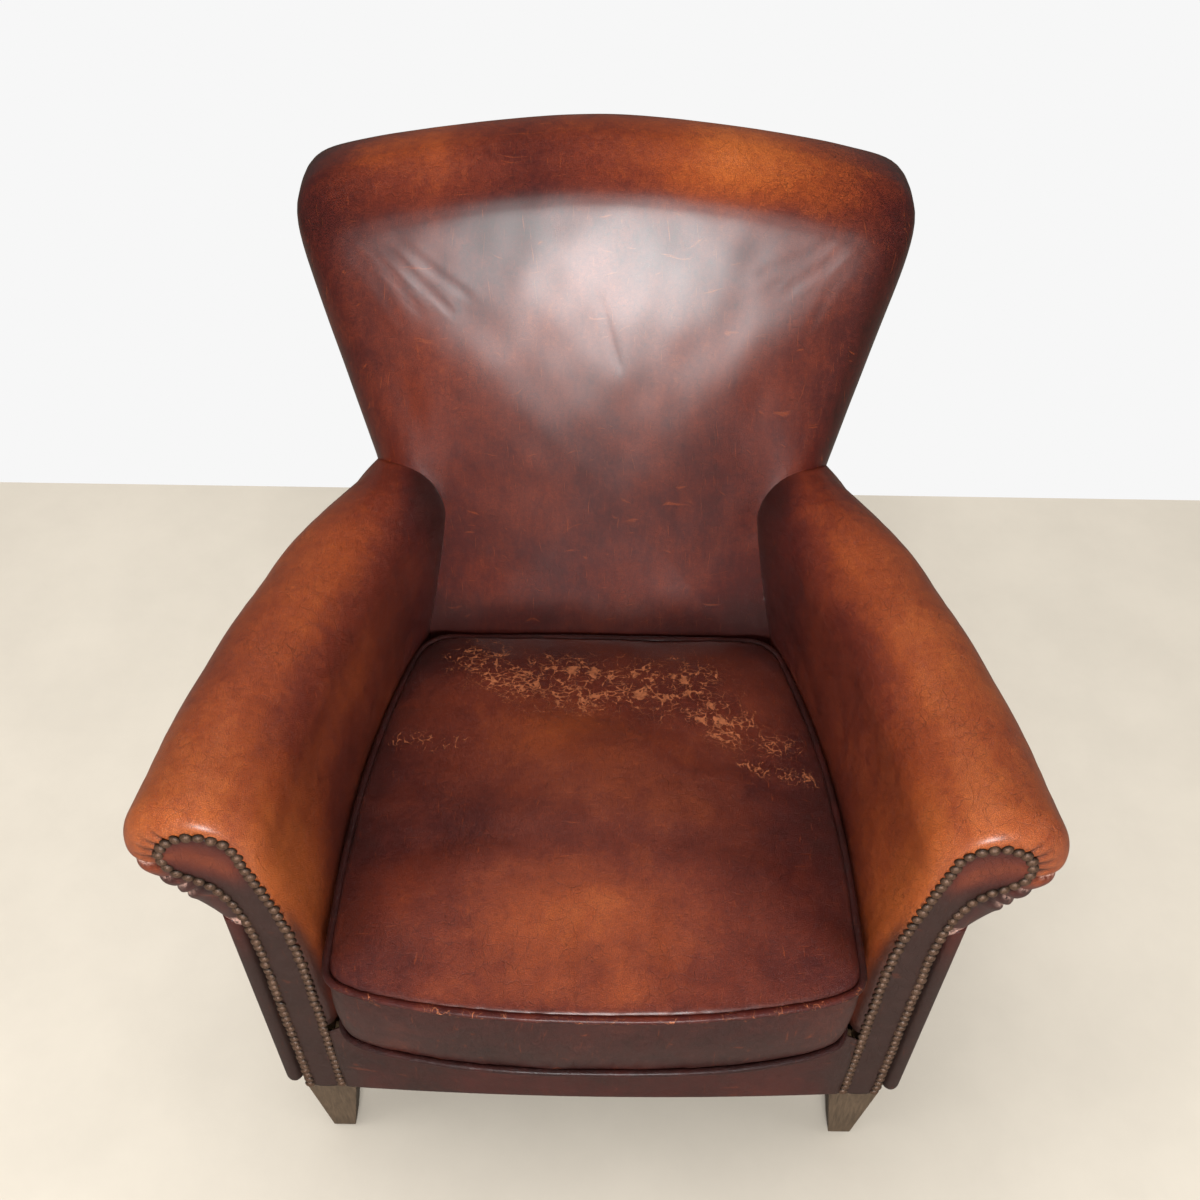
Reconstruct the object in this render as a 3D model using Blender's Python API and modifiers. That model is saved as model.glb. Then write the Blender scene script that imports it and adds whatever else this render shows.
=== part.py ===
"""Worn leather club chair with rolled, splayed arms and a camel back.

Metres, +Z up. The chair faces -Y, X runs across it, and the floor is Z = 0.
The origin is on the floor, in the middle of the chair's width and depth.
"""
import math

import bmesh
import bpy
from mathutils import Vector

# Fit and sheet goods
GAP = 0.0003              # air left between pieces that touch
HIDE = 0.0016             # leather covers
PANEL = 0.003             # leather on card, for the outside arms and outside back

# Seat
SEAT_WIDTH = 0.524        # between the arms at the facings
SEAT_TAPER = 0.072        # each arm closes in by this much before it meets the back
TAPER_POWER = 2.7         # how late along the arm it closes in
SEAT_DEPTH = 0.4295       # facings to the plane of the back, at the cushion's top edge
DECK_HEIGHT = 0.2847      # top of the pad that the cushion lies on
DECK_PAD = 0.0227

# Seat cushion
CUSHION_THICKNESS = 0.122  # from the deck cover to the top seam
CUSHION_CROWN = 0.034     # the middle stands above the top seam
CUSHION_OVERHANG = 0.057  # the top seam stands ahead of the facings at the middle
CUSHION_BOW = 0.030       # the front seam bows forward from corner to middle
CUSHION_SIDE_GAP = 0.0095  # front seam to the inside of the arm
CUSHION_BULGE = 0.005     # the boxing swells past its seams
CUSHION_REAR_GAP = 0.0178  # seam to the plane of the back, which is crowned
CUSHION_CLEAR = 0.0092    # seam to the arm
REAR_CORNER_ROUND = 0.038
FRONT_CORNER_ROUND = 0.020
PIPING_RADIUS = 0.004
ZIP_WIDTH = 0.300
ZIP_HEIGHT = 0.034
CUSHION_CORE = 0.0012     # cover to foam core

# Arms
ARM_HEIGHT = 0.634
ARM_ROLL = 0.063          # radius of the roll
ROLL_LEAN = 0.023         # the roll leans out from the arm's foot, at the front
ROLL_REAR_LEAN = -0.008
ROLL_REAR_DROP = 0.024    # the roll has sunk by this much at the plane of the back
ROLL_BULGE = 0.017        # the roll's line bows outwards along the arm
BEND_DROP = 0.211         # the inside face starts to bend this far below the roll's middle
FACE_PULL = 0.121         # drops of the bend's two guide points
ROLL_PULL = 0.091
TUCK_HEIGHT = 0.468       # where the roll's cover tucks in above the outside arm
TUCK_LIP = 0.003
OUTSIDE_STAND = 0.028     # outside arm out from the outer nail row, at the facings
OUTSIDE_SPLAY = 0.1426    # each outside arm closes in by this much for each metre of depth
OUTSIDE_EDGE = 0.0085     # outer nail row to the edge of the outside panel
FRONT_ROUND = 0.030       # depth of the rounded front end of the arm
TAIL_START = 0.72         # share of the arm's length where its cover turns onto the back
ARM_PADDING = 0.014
PADDING_CLEAR = 0.0024    # cover to padding
PADDING_SHORT = 0.070     # the padding stops short of the back by this much at the outside of the roll

# Facings
FACING_INSET = 0.017      # inner nail row to the arm's inside face
FACING_WIDTH = 0.035      # between the nail rows
FACING_HIDE = 0.002
FACING_CLEAR = 0.0013     # facing to the edge of the arm cover, under the nails
SCROLL_RADIUS = 0.033
SCROLL_RISE = 0.023       # scroll's top nail to the top of the arm
SCROLL_SHIFT = 0.0415     # scroll's centre out from the middle of the facing
SCROLL_PULL = 0.048       # drop of the guide point where the inner row bends to the scroll
SCROLL_FLARE = 0.008      # and how far it stands in from the scroll
NAIL_HEAD = 0.0086
NAIL_PITCH = 0.0106
NAIL_DOME = 0.0024

# Back
BACK_HEIGHT = 0.9255
BACK_MIDDLE = 0.60        # the face of the back rounds off from this height
CREST_DEPTH = 0.052       # the top of the crest is this far behind the plane of the back
CREST_FALL = 0.026        # and its rear edge this far below the top
REAR_SHARE = 0.985        # size of the outside back against the back's outline
BACK_LEAN = math.radians(17.5)
BACK_FOOT_INSET = 0.0085   # back's straight side in from the seat's width at the facings
BACK_FLARE = 0.070        # each side flares out by this much
BACK_SHOULDER = 0.0855    # the widest place is this far below the top
BACK_DEPTH = 0.130        # plane of the back to the rear edge of its cover
BACK_CROWN = 0.016
BACK_FLARE_HEIGHT = 0.580  # the sides start to flare here
BACK_SIDE_POINT = 0.450   # a point half way up the straight sides
SHOULDER_PULL = 0.024     # rise of the shoulder curve's first guide point
CREST_PULL = 0.027        # how far out and down its second one stands
CREST_PULL_DROP = 0.006
BACK_FOAM = 0.064
BACK_CORE = 0.0024        # cover to foam
CREST_DROP = 0.044       # the shoulders stand below the middle of the camel top
KINK_HEIGHT = 0.330       # below this the rear face is upright

# Frame
RAIL_HEIGHT = 0.090
RAIL_THICKNESS = 0.024
POST_DEPTH = 0.030
BACK_POST_WIDTH = 0.032
BACK_POST_DEPTH = 0.0605
BACK_POST_INSET = 0.062   # post's inner face in from the edge of the back
FRAME_INSET = 0.0035      # the frame's rear face inside the back cover
TOP_RAIL_DROP = 0.036     # crest to the top rail
TOP_RAIL_HEIGHT = 0.079
BACK_POST_BENDS = (0.39, 0.70)  # shares of the post's height above the start of the flare
BACK_POST_DROP = 0.082    # crest to the top of the post
LOWER_RAIL_Z = 0.335
LOWER_RAIL_HEIGHT = 0.040
RAIL_SETBACK = 0.012      # back rails behind the front of the posts
BLOCK_SIDE = 0.060
BLOCK_HEIGHT = 0.050
ARM_POST = 0.024
ARM_POST_CLEAR = 0.004    # rear arm post to the crown of the back
REAR_POST_FOOT_INSET = 0.0045  # from the outside panel
REAR_POST_TOP_INSET = 0.008    # from the middle of the roll
ARM_RAIL_HEIGHT = 0.028
ARM_RAIL_WIDTH = 0.024
ARM_RAIL_Z = 0.540
ARM_RAIL_OUTSET = 0.010   # front end's middle out from the scroll's centre
TACK_RAIL_HEIGHT = 0.034
TACK_RAIL_WIDTH = 0.018
TACK_RAIL_RISE = 0.0113   # above the deck
TACK_RAIL_OUTSET = 0.0291 # front end's middle out from the inner nail row

# Springs and webbing
SPRING_COUNT = 4
SPRING_POST_CLEAR = 0.0205  # outer springs' bends to the back posts
SPRING_WIRE = 0.0018      # radius
SPRING_SWING = 0.024      # half the width of the zigzag
SPRING_BENDS = 16
SPRING_INTO_FRONT = 0.018  # the ends rest on the rails by this much
SPRING_INTO_REAR = 0.010
STRAP_HEIGHT = 0.050
STRAP_THICKNESS = 0.0013
STRAP_HEIGHTS = (0.440, 0.560, 0.680)

# Leather over the front rail and cloth underneath
RAIL_COVER_STAND = 0.002  # ahead of the facings
RAIL_COVER_BOW = 0.008
RAIL_COVER_REACH = 0.100  # back over the deck pad
DUST_CLOTH = 0.0012

# Legs
LEG_HEIGHT = 0.115
LEG_TOP = 0.055
LEG_FOOT = 0.0255
LEG_EDGE = 0.0012         # softened corners
LEG_INSET = 0.005         # leg's middle in from the middle of the facing
REAR_LEG_RAKE = 0.0155
GLIDE_RADIUS = 0.010
GLIDE_HEIGHT = 0.004
BOLT_RADIUS = 0.004
BOLT_CLEARANCE = 0.0004
BOLT_INTO_LEG = 0.022
BOLT_INSET = 0.0088       # bolt's middle into its corner block
BOLT_INTO_BLOCK = 0.040
BOLT_SHIFT = {"front": 0.008, "rear": 0.012}  # towards the middle of the chair

# Places worked out from the sizes
CUSHION_FOOT = DECK_HEIGHT + GAP + HIDE + GAP + 0.0006
CUSHION_EDGE = DECK_HEIGHT + CUSHION_THICKNESS + 0.003
SLOPE = math.tan(BACK_LEAN)
CUSHION_WIDTH = SEAT_WIDTH - 2 * CUSHION_SIDE_GAP
BACK_FOOT_WIDTH = SEAT_WIDTH - 2 * BACK_FOOT_INSET
BACK_TOP_WIDTH = BACK_FOOT_WIDTH + 2 * BACK_FLARE
CREST_REAR_Z = BACK_MIDDLE + (BACK_HEIGHT - BACK_MIDDLE) * REAR_SHARE - CREST_FALL
CHAIR_DEPTH = (CUSHION_OVERHANG + CUSHION_BULGE + SEAT_DEPTH
               + (CREST_REAR_Z - CUSHION_EDGE) * SLOPE + BACK_DEPTH + GAP + PANEL)
FACING_Y = CUSHION_OVERHANG + CUSHION_BULGE - CHAIR_DEPTH / 2
BACK_Y = FACING_Y + SEAT_DEPTH
ARM_RUN = SEAT_DEPTH + 0.0285
FACING_IN = SEAT_WIDTH / 2 + FACING_INSET
FACING_OUT = FACING_IN + FACING_WIDTH
OUTSIDE_WIDTH = 2 * (FACING_OUT + OUTSIDE_STAND)
SPRING_SPREAD = BACK_FOOT_WIDTH - 2 * (BACK_POST_INSET + SPRING_POST_CLEAR + SPRING_SWING)
TACK_RAIL_Z = DECK_HEIGHT + TACK_RAIL_RISE
SCROLL_X = (FACING_IN + FACING_OUT) / 2 + SCROLL_SHIFT
SCROLL_Z = ARM_HEIGHT - SCROLL_RISE - SCROLL_RADIUS
ROLL_Z = ARM_HEIGHT - ARM_ROLL
FRAME_FOOT = LEG_HEIGHT + GAP
RAIL_TOP = FRAME_FOOT + RAIL_HEIGHT
FRONT_LEG_X = (FACING_IN + FACING_OUT) / 2 - LEG_INSET
POST_BACK_Y = FACING_Y + FACING_HIDE + GAP + POST_DEPTH
COVER_FOOT = DECK_HEIGHT - DECK_PAD + 0.003
OUTSIDE_FOOT = LEG_HEIGHT - 0.0005
PAD_FOOT = DECK_HEIGHT + 0.0053

RIGHT = 1
LEFT = -1
SIDES = ((LEFT, "left"), (RIGHT, "right"))

FINISHES = {
    "worn_leather": ((0.16, 0.035, 0.018), 0.36, 0.0),
    "dark_leather": ((0.045, 0.018, 0.014), 0.45, 0.0),
    "seat_leather": ((0.085, 0.022, 0.013), 0.40, 0.0),
    "piping_leather": ((0.030, 0.012, 0.010), 0.45, 0.0),
    "antique_nails": ((0.14, 0.10, 0.06), 0.38, 1.0),
    "stained_wood": ((0.13, 0.095, 0.07), 0.55, 0.0),
    "frame_wood": ((0.55, 0.38, 0.22), 0.60, 0.0),
    "foam": ((0.80, 0.74, 0.55), 0.90, 0.0),
    "spring_steel": ((0.35, 0.35, 0.36), 0.40, 1.0),
    "webbing": ((0.20, 0.17, 0.14), 0.85, 0.0),
    "dust_cloth": ((0.02, 0.02, 0.02), 0.95, 0.0),
    "glide_plastic": ((0.05, 0.05, 0.05), 0.50, 0.0),
    "bolt_steel": ((0.45, 0.45, 0.46), 0.35, 1.0),
}


def clear_scene():
    for item in list(bpy.data.objects):
        bpy.data.objects.remove(item, do_unlink=True)


def make_collection(name):
    collection = bpy.data.collections.get(name) or bpy.data.collections.new(name)
    if collection.name not in bpy.context.scene.collection.children:
        bpy.context.scene.collection.children.link(collection)
    return collection


def finish_material(name):
    material = bpy.data.materials.get(name) or bpy.data.materials.new(name)
    material.use_nodes = True
    color, roughness, metallic = FINISHES[name]
    shader = material.node_tree.nodes["Principled BSDF"]
    shader.inputs["Base Color"].default_value = (*color, 1.0)
    shader.inputs["Roughness"].default_value = roughness
    shader.inputs["Metallic"].default_value = metallic
    return material


def place(name, mesh, finish, collection=None):
    """Link a mesh as a named part with its finish."""
    part = bpy.data.objects.new(name, mesh)
    mesh.materials.append(finish_material(finish))
    (collection or PARTS).objects.link(part)
    return part


def build_mesh(name, points, faces):
    mesh = bpy.data.meshes.new(name)
    mesh.from_pydata([tuple(p) for p in points], [], faces)
    mesh.validate()
    return mesh


def face_outwards(mesh):
    shape = bmesh.new()
    shape.from_mesh(mesh)
    bmesh.ops.recalc_face_normals(shape, faces=shape.faces)
    shape.to_mesh(mesh)
    shape.free()


def loft(name, sections, finish):
    """A closed solid through a row of closed loops that have equal point counts."""
    count = len(sections[0])
    points = [p for section in sections for p in section]
    faces = [tuple(range(count)), tuple((len(sections) - 1) * count + i for i in range(count))]
    for row in range(len(sections) - 1):
        for i in range(count):
            j = (i + 1) % count
            faces.append((row * count + i, row * count + j, (row + 1) * count + j, (row + 1) * count + i))
    mesh = build_mesh(name, points, faces)
    face_outwards(mesh)
    return place(name, mesh, finish)


def grid(rows):
    """Points and faces of a sheet through rows that have equal point counts."""
    count = len(rows[0])
    points = [p for row in rows for p in row]
    faces = []
    for row in range(len(rows) - 1):
        for i in range(row * count, row * count + count - 1):
            faces.append((i, i + 1, i + 1 + count, i + count))
    return points, faces


def shell(name, points, faces, finish, thickness, towards):
    """A skin on the inner side of a surface whose first face looks towards a direction."""
    mesh = build_mesh(name, points, faces)
    shape = bmesh.new()
    shape.from_mesh(mesh)
    bmesh.ops.recalc_face_normals(shape, faces=shape.faces)
    shape.faces.ensure_lookup_table()
    if shape.faces[0].normal.dot(Vector(towards)) < 0:
        bmesh.ops.reverse_faces(shape, faces=shape.faces)
    shape.to_mesh(mesh)
    shape.free()
    part = place(name, mesh, finish)
    solid = part.modifiers.new("thickness", "SOLIDIFY")
    solid.thickness = thickness
    solid.offset = -1.0
    solid.use_even_offset = True


def prism(name, outline, low, high, finish, axis="Z"):
    """A flat outline pushed from low to high along Z or Y."""
    if axis == "Z":
        sections = [[(a, b, level) for a, b in outline] for level in (low, high)]
    else:
        sections = [[(a, level, b) for a, b in outline] for level in (low, high)]
    return loft(name, sections, finish)


def beam(name, start, end, finish):
    """A straight member between two four-cornered ends."""
    return loft(name, [start, end], finish)


def tube(name, points, radius, finish, resolution=1, cyclic=False):
    """A wire or cord of round section along a polyline, as a welded mesh."""
    curve = bpy.data.curves.new(name, "CURVE")
    curve.dimensions = "3D"
    spline = curve.splines.new("POLY")
    spline.points.add(len(points) - 1)
    for point, place_at in zip(spline.points, points):
        point.co = (*place_at, 1.0)
    spline.use_cyclic_u = cyclic
    curve.bevel_depth = radius
    curve.bevel_resolution = resolution
    curve.use_fill_caps = not cyclic
    guide = bpy.data.objects.new(name + "_guide", curve)
    PARTS.objects.link(guide)
    depsgraph = bpy.context.evaluated_depsgraph_get()
    mesh = bpy.data.meshes.new_from_object(guide.evaluated_get(depsgraph))
    bpy.data.objects.remove(guide, do_unlink=True)
    shape = bmesh.new()
    shape.from_mesh(mesh)
    bmesh.ops.remove_doubles(shape, verts=shape.verts, dist=0.00001)
    bmesh.ops.recalc_face_normals(shape, faces=shape.faces)
    shape.to_mesh(mesh)
    shape.free()
    mesh.materials.clear()
    return place(name, mesh, finish)


def cylinder(name, radius, low, high, x, y, finish, collection=None, segments=20):
    mesh = bpy.data.meshes.new(name)
    shape = bmesh.new()
    bmesh.ops.create_cone(shape, cap_ends=True, segments=segments, radius1=radius, radius2=radius,
                          depth=high - low)
    shape.to_mesh(mesh)
    shape.free()
    part = place(name, mesh, finish, collection)
    part.location = (x, y, (low + high) / 2)
    return part


def drill(part, radius, low, high, x, y):
    """Cut an upright round hole."""
    cutter = cylinder(part.name + "_hole", radius, low, high, x, y, "bolt_steel", CUTTERS)
    cutter.hide_render = True
    cutter.display_type = "WIRE"
    cut = part.modifiers.new("hole", "BOOLEAN")
    cut.operation = "DIFFERENCE"
    cut.object = cutter


def bezier(a, b, c, d, steps, first=0):
    """Points on a cubic curve from a to d."""
    points = []
    for k in range(first, steps + 1):
        t = k / steps
        s = 1 - t
        weights = (s ** 3, 3 * s * s * t, 3 * s * t * t, t ** 3)
        points.append(tuple(sum(w * p[i] for w, p in zip(weights, (a, b, c, d))) for i in range(2)))
    return points


def mix(a, b, t):
    return tuple(p + (q - p) * t for p, q in zip(a, b))


# The back's plane and outline

def back_y(z):
    """Plane of the back at height z, upright below the kink."""
    return BACK_Y + (max(z, KINK_HEIGHT) - CUSHION_EDGE) * SLOPE


def back_half_width(z):
    """Half the width of the back, up to its shoulders."""
    if z <= BACK_FLARE_HEIGHT:
        return BACK_FOOT_WIDTH / 2
    shoulder = BACK_HEIGHT - BACK_SHOULDER
    t = min((z - BACK_FLARE_HEIGHT) / (shoulder - BACK_FLARE_HEIGHT), 1.0)
    ease = math.sin(min(t, 1.0) * math.pi / 2) ** 0.5 if t > 0.9 else t * 1.03
    return (BACK_FOOT_WIDTH + (BACK_TOP_WIDTH - BACK_FOOT_WIDTH) * min(ease, 1.0)) / 2


def crest_z(x):
    """Height of the camel top at x."""
    t = min(abs(x) / (BACK_TOP_WIDTH / 2), 1.0)
    return BACK_HEIGHT - CREST_DROP * (t ** 1.6 + 0.23 * t ** 8)


def back_loop(foot):
    """The back's outline, anticlockwise from the left foot, as (x, z)."""
    shoulder = BACK_HEIGHT - BACK_SHOULDER
    wide = BACK_TOP_WIDTH / 2
    half = [(BACK_FOOT_WIDTH / 2, foot), (BACK_FOOT_WIDTH / 2, BACK_SIDE_POINT)]
    rises = (0.0, 0.22, 0.45, 0.68, 0.87)
    half += [(back_half_width(BACK_FLARE_HEIGHT + (shoulder - BACK_FLARE_HEIGHT) * t),
              BACK_FLARE_HEIGHT + (shoulder - BACK_FLARE_HEIGHT) * t) for t in rises]
    crest = wide * 0.88
    half += bezier((wide, shoulder), (wide, shoulder + SHOULDER_PULL),
                   (crest + CREST_PULL, crest_z(crest) - CREST_PULL_DROP),
                   (crest, crest_z(crest)), 5)
    half += [(wide * t, crest_z(wide * t)) for t in (0.74, 0.58, 0.40, 0.20)]
    other = [(-x, z) for x, z in reversed(half)]
    floor = [(-BACK_FOOT_WIDTH / 6, foot), (BACK_FOOT_WIDTH / 6, foot)]
    return half + [(0.0, BACK_HEIGHT)] + other + floor


BACK_RINGS = ((0.30, -1.0), (0.62, -0.75), (0.85, 0.0))
BACK_ROUND = ((0.925, 0.008), (0.965, 0.020), (0.99, 0.034), (1.0, CREST_DEPTH))


def crest_fall(z, depth):
    """How far the crest has rolled down at a depth behind the plane of the back."""
    rise = min(max((z - BACK_HEIGHT + BACK_SHOULDER) / BACK_SHOULDER, 0.0), 1.0)
    share = max((depth - CREST_DEPTH) / (BACK_DEPTH - CREST_DEPTH), 0.0)
    return CREST_FALL * rise * share ** 2


def back_ring(foot, share, depth, inset=0.0):
    """The back's outline shrunk about its middle and set back from the plane by depth."""
    ring = []
    for x, z in back_loop(foot):
        reach = math.hypot(x, z - BACK_MIDDLE)
        k = share * (1 - inset / reach)
        height = BACK_MIDDLE + (z - BACK_MIDDLE) * k
        height -= crest_fall(height, depth)
        ring.append((x * k, BACK_Y + (height - CUSHION_EDGE) * SLOPE + depth, height))
    return ring


def back_front_depth(share):
    """Depth of the back's padded face at a share of its half width."""
    table = [(0.0, -BACK_CROWN)] + [(s, d * BACK_CROWN) for s, d in BACK_RINGS] + list(BACK_ROUND)
    for (s0, d0), (s1, d1) in zip(table, table[1:]):
        if share <= s1:
            return d0 + (d1 - d0) * (share - s0) / (s1 - s0)
    return table[-1][1]


# The arms' lines

def arm_share(y):
    return max((y - FACING_Y) / ARM_RUN, 0.0)


def inner_face_x(y):
    return SEAT_WIDTH / 2 - SEAT_TAPER * min(arm_share(y), 1.1) ** TAPER_POWER


def roll_x(y):
    s = min(arm_share(y), 1.1)
    front = SEAT_WIDTH / 2 + ROLL_LEAN + ARM_ROLL
    rear = SEAT_WIDTH / 2 - SEAT_TAPER + ROLL_REAR_LEAN + ARM_ROLL
    return front + (rear - front) * s + ROLL_BULGE * 4 * s * (1 - s)


def roll_z(y):
    """Height of the roll's middle, which sinks towards the back."""
    return ROLL_Z - ROLL_REAR_DROP * min(arm_share(y), 1.1) ** 2


def outside_x(y):
    return OUTSIDE_WIDTH / 2 - OUTSIDE_SPLAY * (y - FACING_Y)


ROLL_STEPS = 11
TUCK_ANGLE = math.radians(-40)
TUCK_STEPS = 3


def roll_arc(x, z, radius):
    """The roll, from its inner side over the top to below its outer side."""
    sweep = math.pi - TUCK_ANGLE
    angles = [math.pi - sweep * k / ROLL_STEPS for k in range(1, ROLL_STEPS + 1)]
    return [(x + radius * math.cos(a), z + radius * math.sin(a)) for a in angles]


def arm_path(y, inset=0.0, foot=COVER_FOOT, tuck=True):
    """Section of an arm at y, as (x, z): up the inside, over the roll, down to the tuck."""
    face = inner_face_x(y) + inset
    x, z, radius = roll_x(y), roll_z(y), ARM_ROLL - inset
    path = [(face, foot)]
    path += bezier((face, ROLL_Z - BEND_DROP), (face, ROLL_Z - FACE_PULL), (x - radius, z - ROLL_PULL),
                   (x - radius, z), 4)
    path += roll_arc(x, z, radius)
    if tuck:
        end = (outside_x(y) + TUCK_LIP, TUCK_HEIGHT)
        path += [mix(path[-1], end, 1 / 3), mix(path[-1], end, 2 / 3), end]
    return path


def scroll_path(foot=COVER_FOOT):
    """The nail line on the facing, point for point with arm_path."""
    path = [(FACING_IN, foot)]
    left = SCROLL_X - SCROLL_RADIUS
    path += bezier((FACING_IN, ROLL_Z - BEND_DROP), (FACING_IN, ROLL_Z - ROLL_PULL),
                   (left - SCROLL_FLARE, SCROLL_Z - SCROLL_PULL), (left, SCROLL_Z), 4)
    path += roll_arc(SCROLL_X, SCROLL_Z, SCROLL_RADIUS)
    end = (FACING_OUT + 0.003, TUCK_HEIGHT)
    path += bezier(path[-1], (FACING_OUT + 0.034, SCROLL_Z - 0.034), (FACING_OUT + 0.010, SCROLL_Z - 0.040),
                   end, TUCK_STEPS, first=1)
    return path


def facing_line():
    """The nail line from the foot of the inner row, round the scroll, to the foot of the outer row."""
    return [(FACING_IN, OUTSIDE_FOOT + 0.001)] + scroll_path() + [(FACING_OUT, TUCK_HEIGHT - 0.045),
                                                               (FACING_OUT, OUTSIDE_FOOT + 0.001)]


def arm_end(i):
    """Where point i of the arm's section meets the padded back."""
    x, z = arm_path(BACK_Y + (arm_path(BACK_Y)[i][1] - CUSHION_EDGE) * SLOPE)[i]
    plane = BACK_Y + (z - CUSHION_EDGE) * SLOPE
    half = back_half_width(z)
    start = 0.85 * half
    if x <= start:
        return x, plane + back_front_depth(x / half) - 0.002, z
    widest = roll_x(plane) + ARM_ROLL
    turn = min((x - start) / (widest - start), 1.0) * math.pi / 2
    return start + 0.165 * half * math.sin(turn), plane - 0.003 + 0.052 * (1 - math.cos(turn)), z


def arm_cover(side, name):
    """The leather over the inside of the arm and the roll, drawn onto the facing in front."""
    rows = []
    scroll = scroll_path()
    for k in range(5):
        turn = k / 4 * math.pi / 2
        y = FACING_Y + FRONT_ROUND * (1 - math.cos(turn))
        path = [mix(a, b, math.sin(turn)) for a, b in zip(scroll, arm_path(y))]
        rows.append([(side * x, y, z) for x, z in path])
    lead = FACING_Y + FRONT_ROUND
    begin = lead + TAIL_START * (back_y(CUSHION_EDGE) - lead)
    for k in range(1, 5):
        y = lead + (begin - lead) * k / 4
        rows.append([(side * x, y, z) for x, z in arm_path(y)])
    ends = [arm_end(i) for i in range(len(scroll))]
    for k in range(1, 6):
        t = k / 5
        row = []
        for i, (end_x, end_y, end_z) in enumerate(ends):
            y = begin + (end_y - begin) * t
            plane = BACK_Y + (end_z - CUSHION_EDGE) * SLOPE
            x, z = arm_path(min(y, plane))[i]
            row.append((side * (x + (end_x - x) * t ** 5), y, z + (end_z - z) * t ** 5))
        rows.append(row)
    points, faces = grid(rows)
    shell(name + "_arm_cover", points, faces, "worn_leather", HIDE, towards=(-side, -1, 0))


def arm_padding(side, name):
    """The wadding under the arm cover, from the front post to the back."""
    outer_inset = HIDE + PADDING_CLEAR
    sections = []
    for k in range(8):
        section = []
        outer = arm_path(FACING_Y, outer_inset, PAD_FOOT, tuck=False)
        for inset in (outer_inset, outer_inset + ARM_PADDING):
            loop = []
            rear = arm_path(back_y(ROLL_Z), inset, PAD_FOOT, tuck=False)
            for i in range(len(outer)):
                z = rear[i][1]
                first, last = POST_BACK_Y + 0.004, BACK_Y + (z - CUSHION_EDGE) * SLOPE - BACK_CROWN - 0.006
                outward = (outer[i][0] - outer[0][0]) / (2 * ARM_ROLL)
                last -= PADDING_SHORT * min(max(outward, 0.0), 1.0)
                y = first + (last - first) * k / 7
                x, z = arm_path(y, inset, PAD_FOOT, tuck=False)[i]
                loop.append((side * x, y, z))
            section += loop if inset == outer_inset else loop[::-1]
        sections.append(section)
    return loft(name + "_arm_padding", sections, "foam")


def outside_arm(side, name):
    """The leather panel below the roll, turned round the front corner."""
    rows = []
    front = FACING_Y + 0.0006
    inner_edge = FACING_OUT + OUTSIDE_EDGE
    top = TUCK_HEIGHT - 0.003
    for z in (OUTSIDE_FOOT, (OUTSIDE_FOOT + KINK_HEIGHT) / 2, KINK_HEIGHT, (KINK_HEIGHT + top) / 2, top):
        rear = back_y(z) + BACK_DEPTH - 0.0005
        corner = outside_x(front)
        outer = [(inner_edge, front), (corner - 0.011, front), (corner - 0.005, front + 0.0022),
                 (corner - 0.0015, front + 0.007), (outside_x(front + 0.016), front + 0.016),
                 (outside_x(rear), rear)]
        inner = [(outside_x(rear) - PANEL, rear), (outside_x(front + 0.016) - PANEL, front + 0.016),
                 (corner - 0.0045, front + 0.009), (corner - 0.0075, front + 0.005),
                 (corner - 0.012, front + PANEL), (inner_edge, front + PANEL)]
        rows.append([(side * x, y, z) for x, y in outer + inner])
    return loft(name + "_outside_arm_cover", rows, "dark_leather")


def shrink(line, distance):
    """The line moved to its right-hand side by a distance, mitred at its corners."""
    moved = []
    for i, (x, z) in enumerate(line):
        before, after = line[max(i - 1, 0)], line[min(i + 1, len(line) - 1)]
        dx, dz = after[0] - before[0], after[1] - before[1]
        length = math.hypot(dx, dz)
        moved.append((x + dz / length * distance, z - dx / length * distance))
    return moved


def facing(side, name):
    outline = [(side * x, z) for x, z in shrink(facing_line(), FACING_CLEAR)]
    prism(name + "_arm_facing", outline, FACING_Y, FACING_Y + FACING_HIDE, "dark_leather", axis="Y")


def front_post(side, name):
    """The shaped board behind the facing."""
    outline = [(side * x, max(z, FRAME_FOOT)) for x, z in shrink(facing_line(), FACING_CLEAR)]
    prism(name + "_front_arm_post", outline, POST_BACK_Y - POST_DEPTH, POST_BACK_Y, "frame_wood", axis="Y")


def walk(path, pitch):
    """Evenly spaced places along a line, with the direction at each."""
    places = []
    travelled = 0.0
    next_at = pitch / 2
    for (x0, z0), (x1, z1) in zip(path, path[1:]):
        length = math.hypot(x1 - x0, z1 - z0)
        while next_at <= travelled + length:
            t = (next_at - travelled) / length
            places.append(((x0 + (x1 - x0) * t, z0 + (z1 - z0) * t), ((x1 - x0) / length, (z1 - z0) / length)))
            next_at += pitch
        travelled += length
    return places


def nail_trim(side, name):
    """The nail heads of one facing, head to head, joined in one trim."""
    base = FACING_Y - GAP
    narrow, wide = 0.0011, NAIL_HEAD / 2
    stations = ((-0.48, narrow, 0.0006), (-0.22, wide, NAIL_DOME), (0.22, wide, NAIL_DOME))
    sections = []
    line = facing_line()
    for (x, z), (dx, dz) in walk(line, NAIL_PITCH):
        for share, half, rise in stations:
            cx, cz = x + dx * share * NAIL_PITCH, z + dz * share * NAIL_PITCH
            nx, nz = -dz, dx
            section = [(cx + nx * half * across, base - rise * up, cz + nz * half * across)
                       for across, up in ((1, 0), (0.5, 1), (-0.5, 1), (-1, 0))]
            sections.append([(side * px, py, pz) for px, py, pz in section])
    return loft(name + "_nail_trim", sections, "antique_nails")


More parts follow.
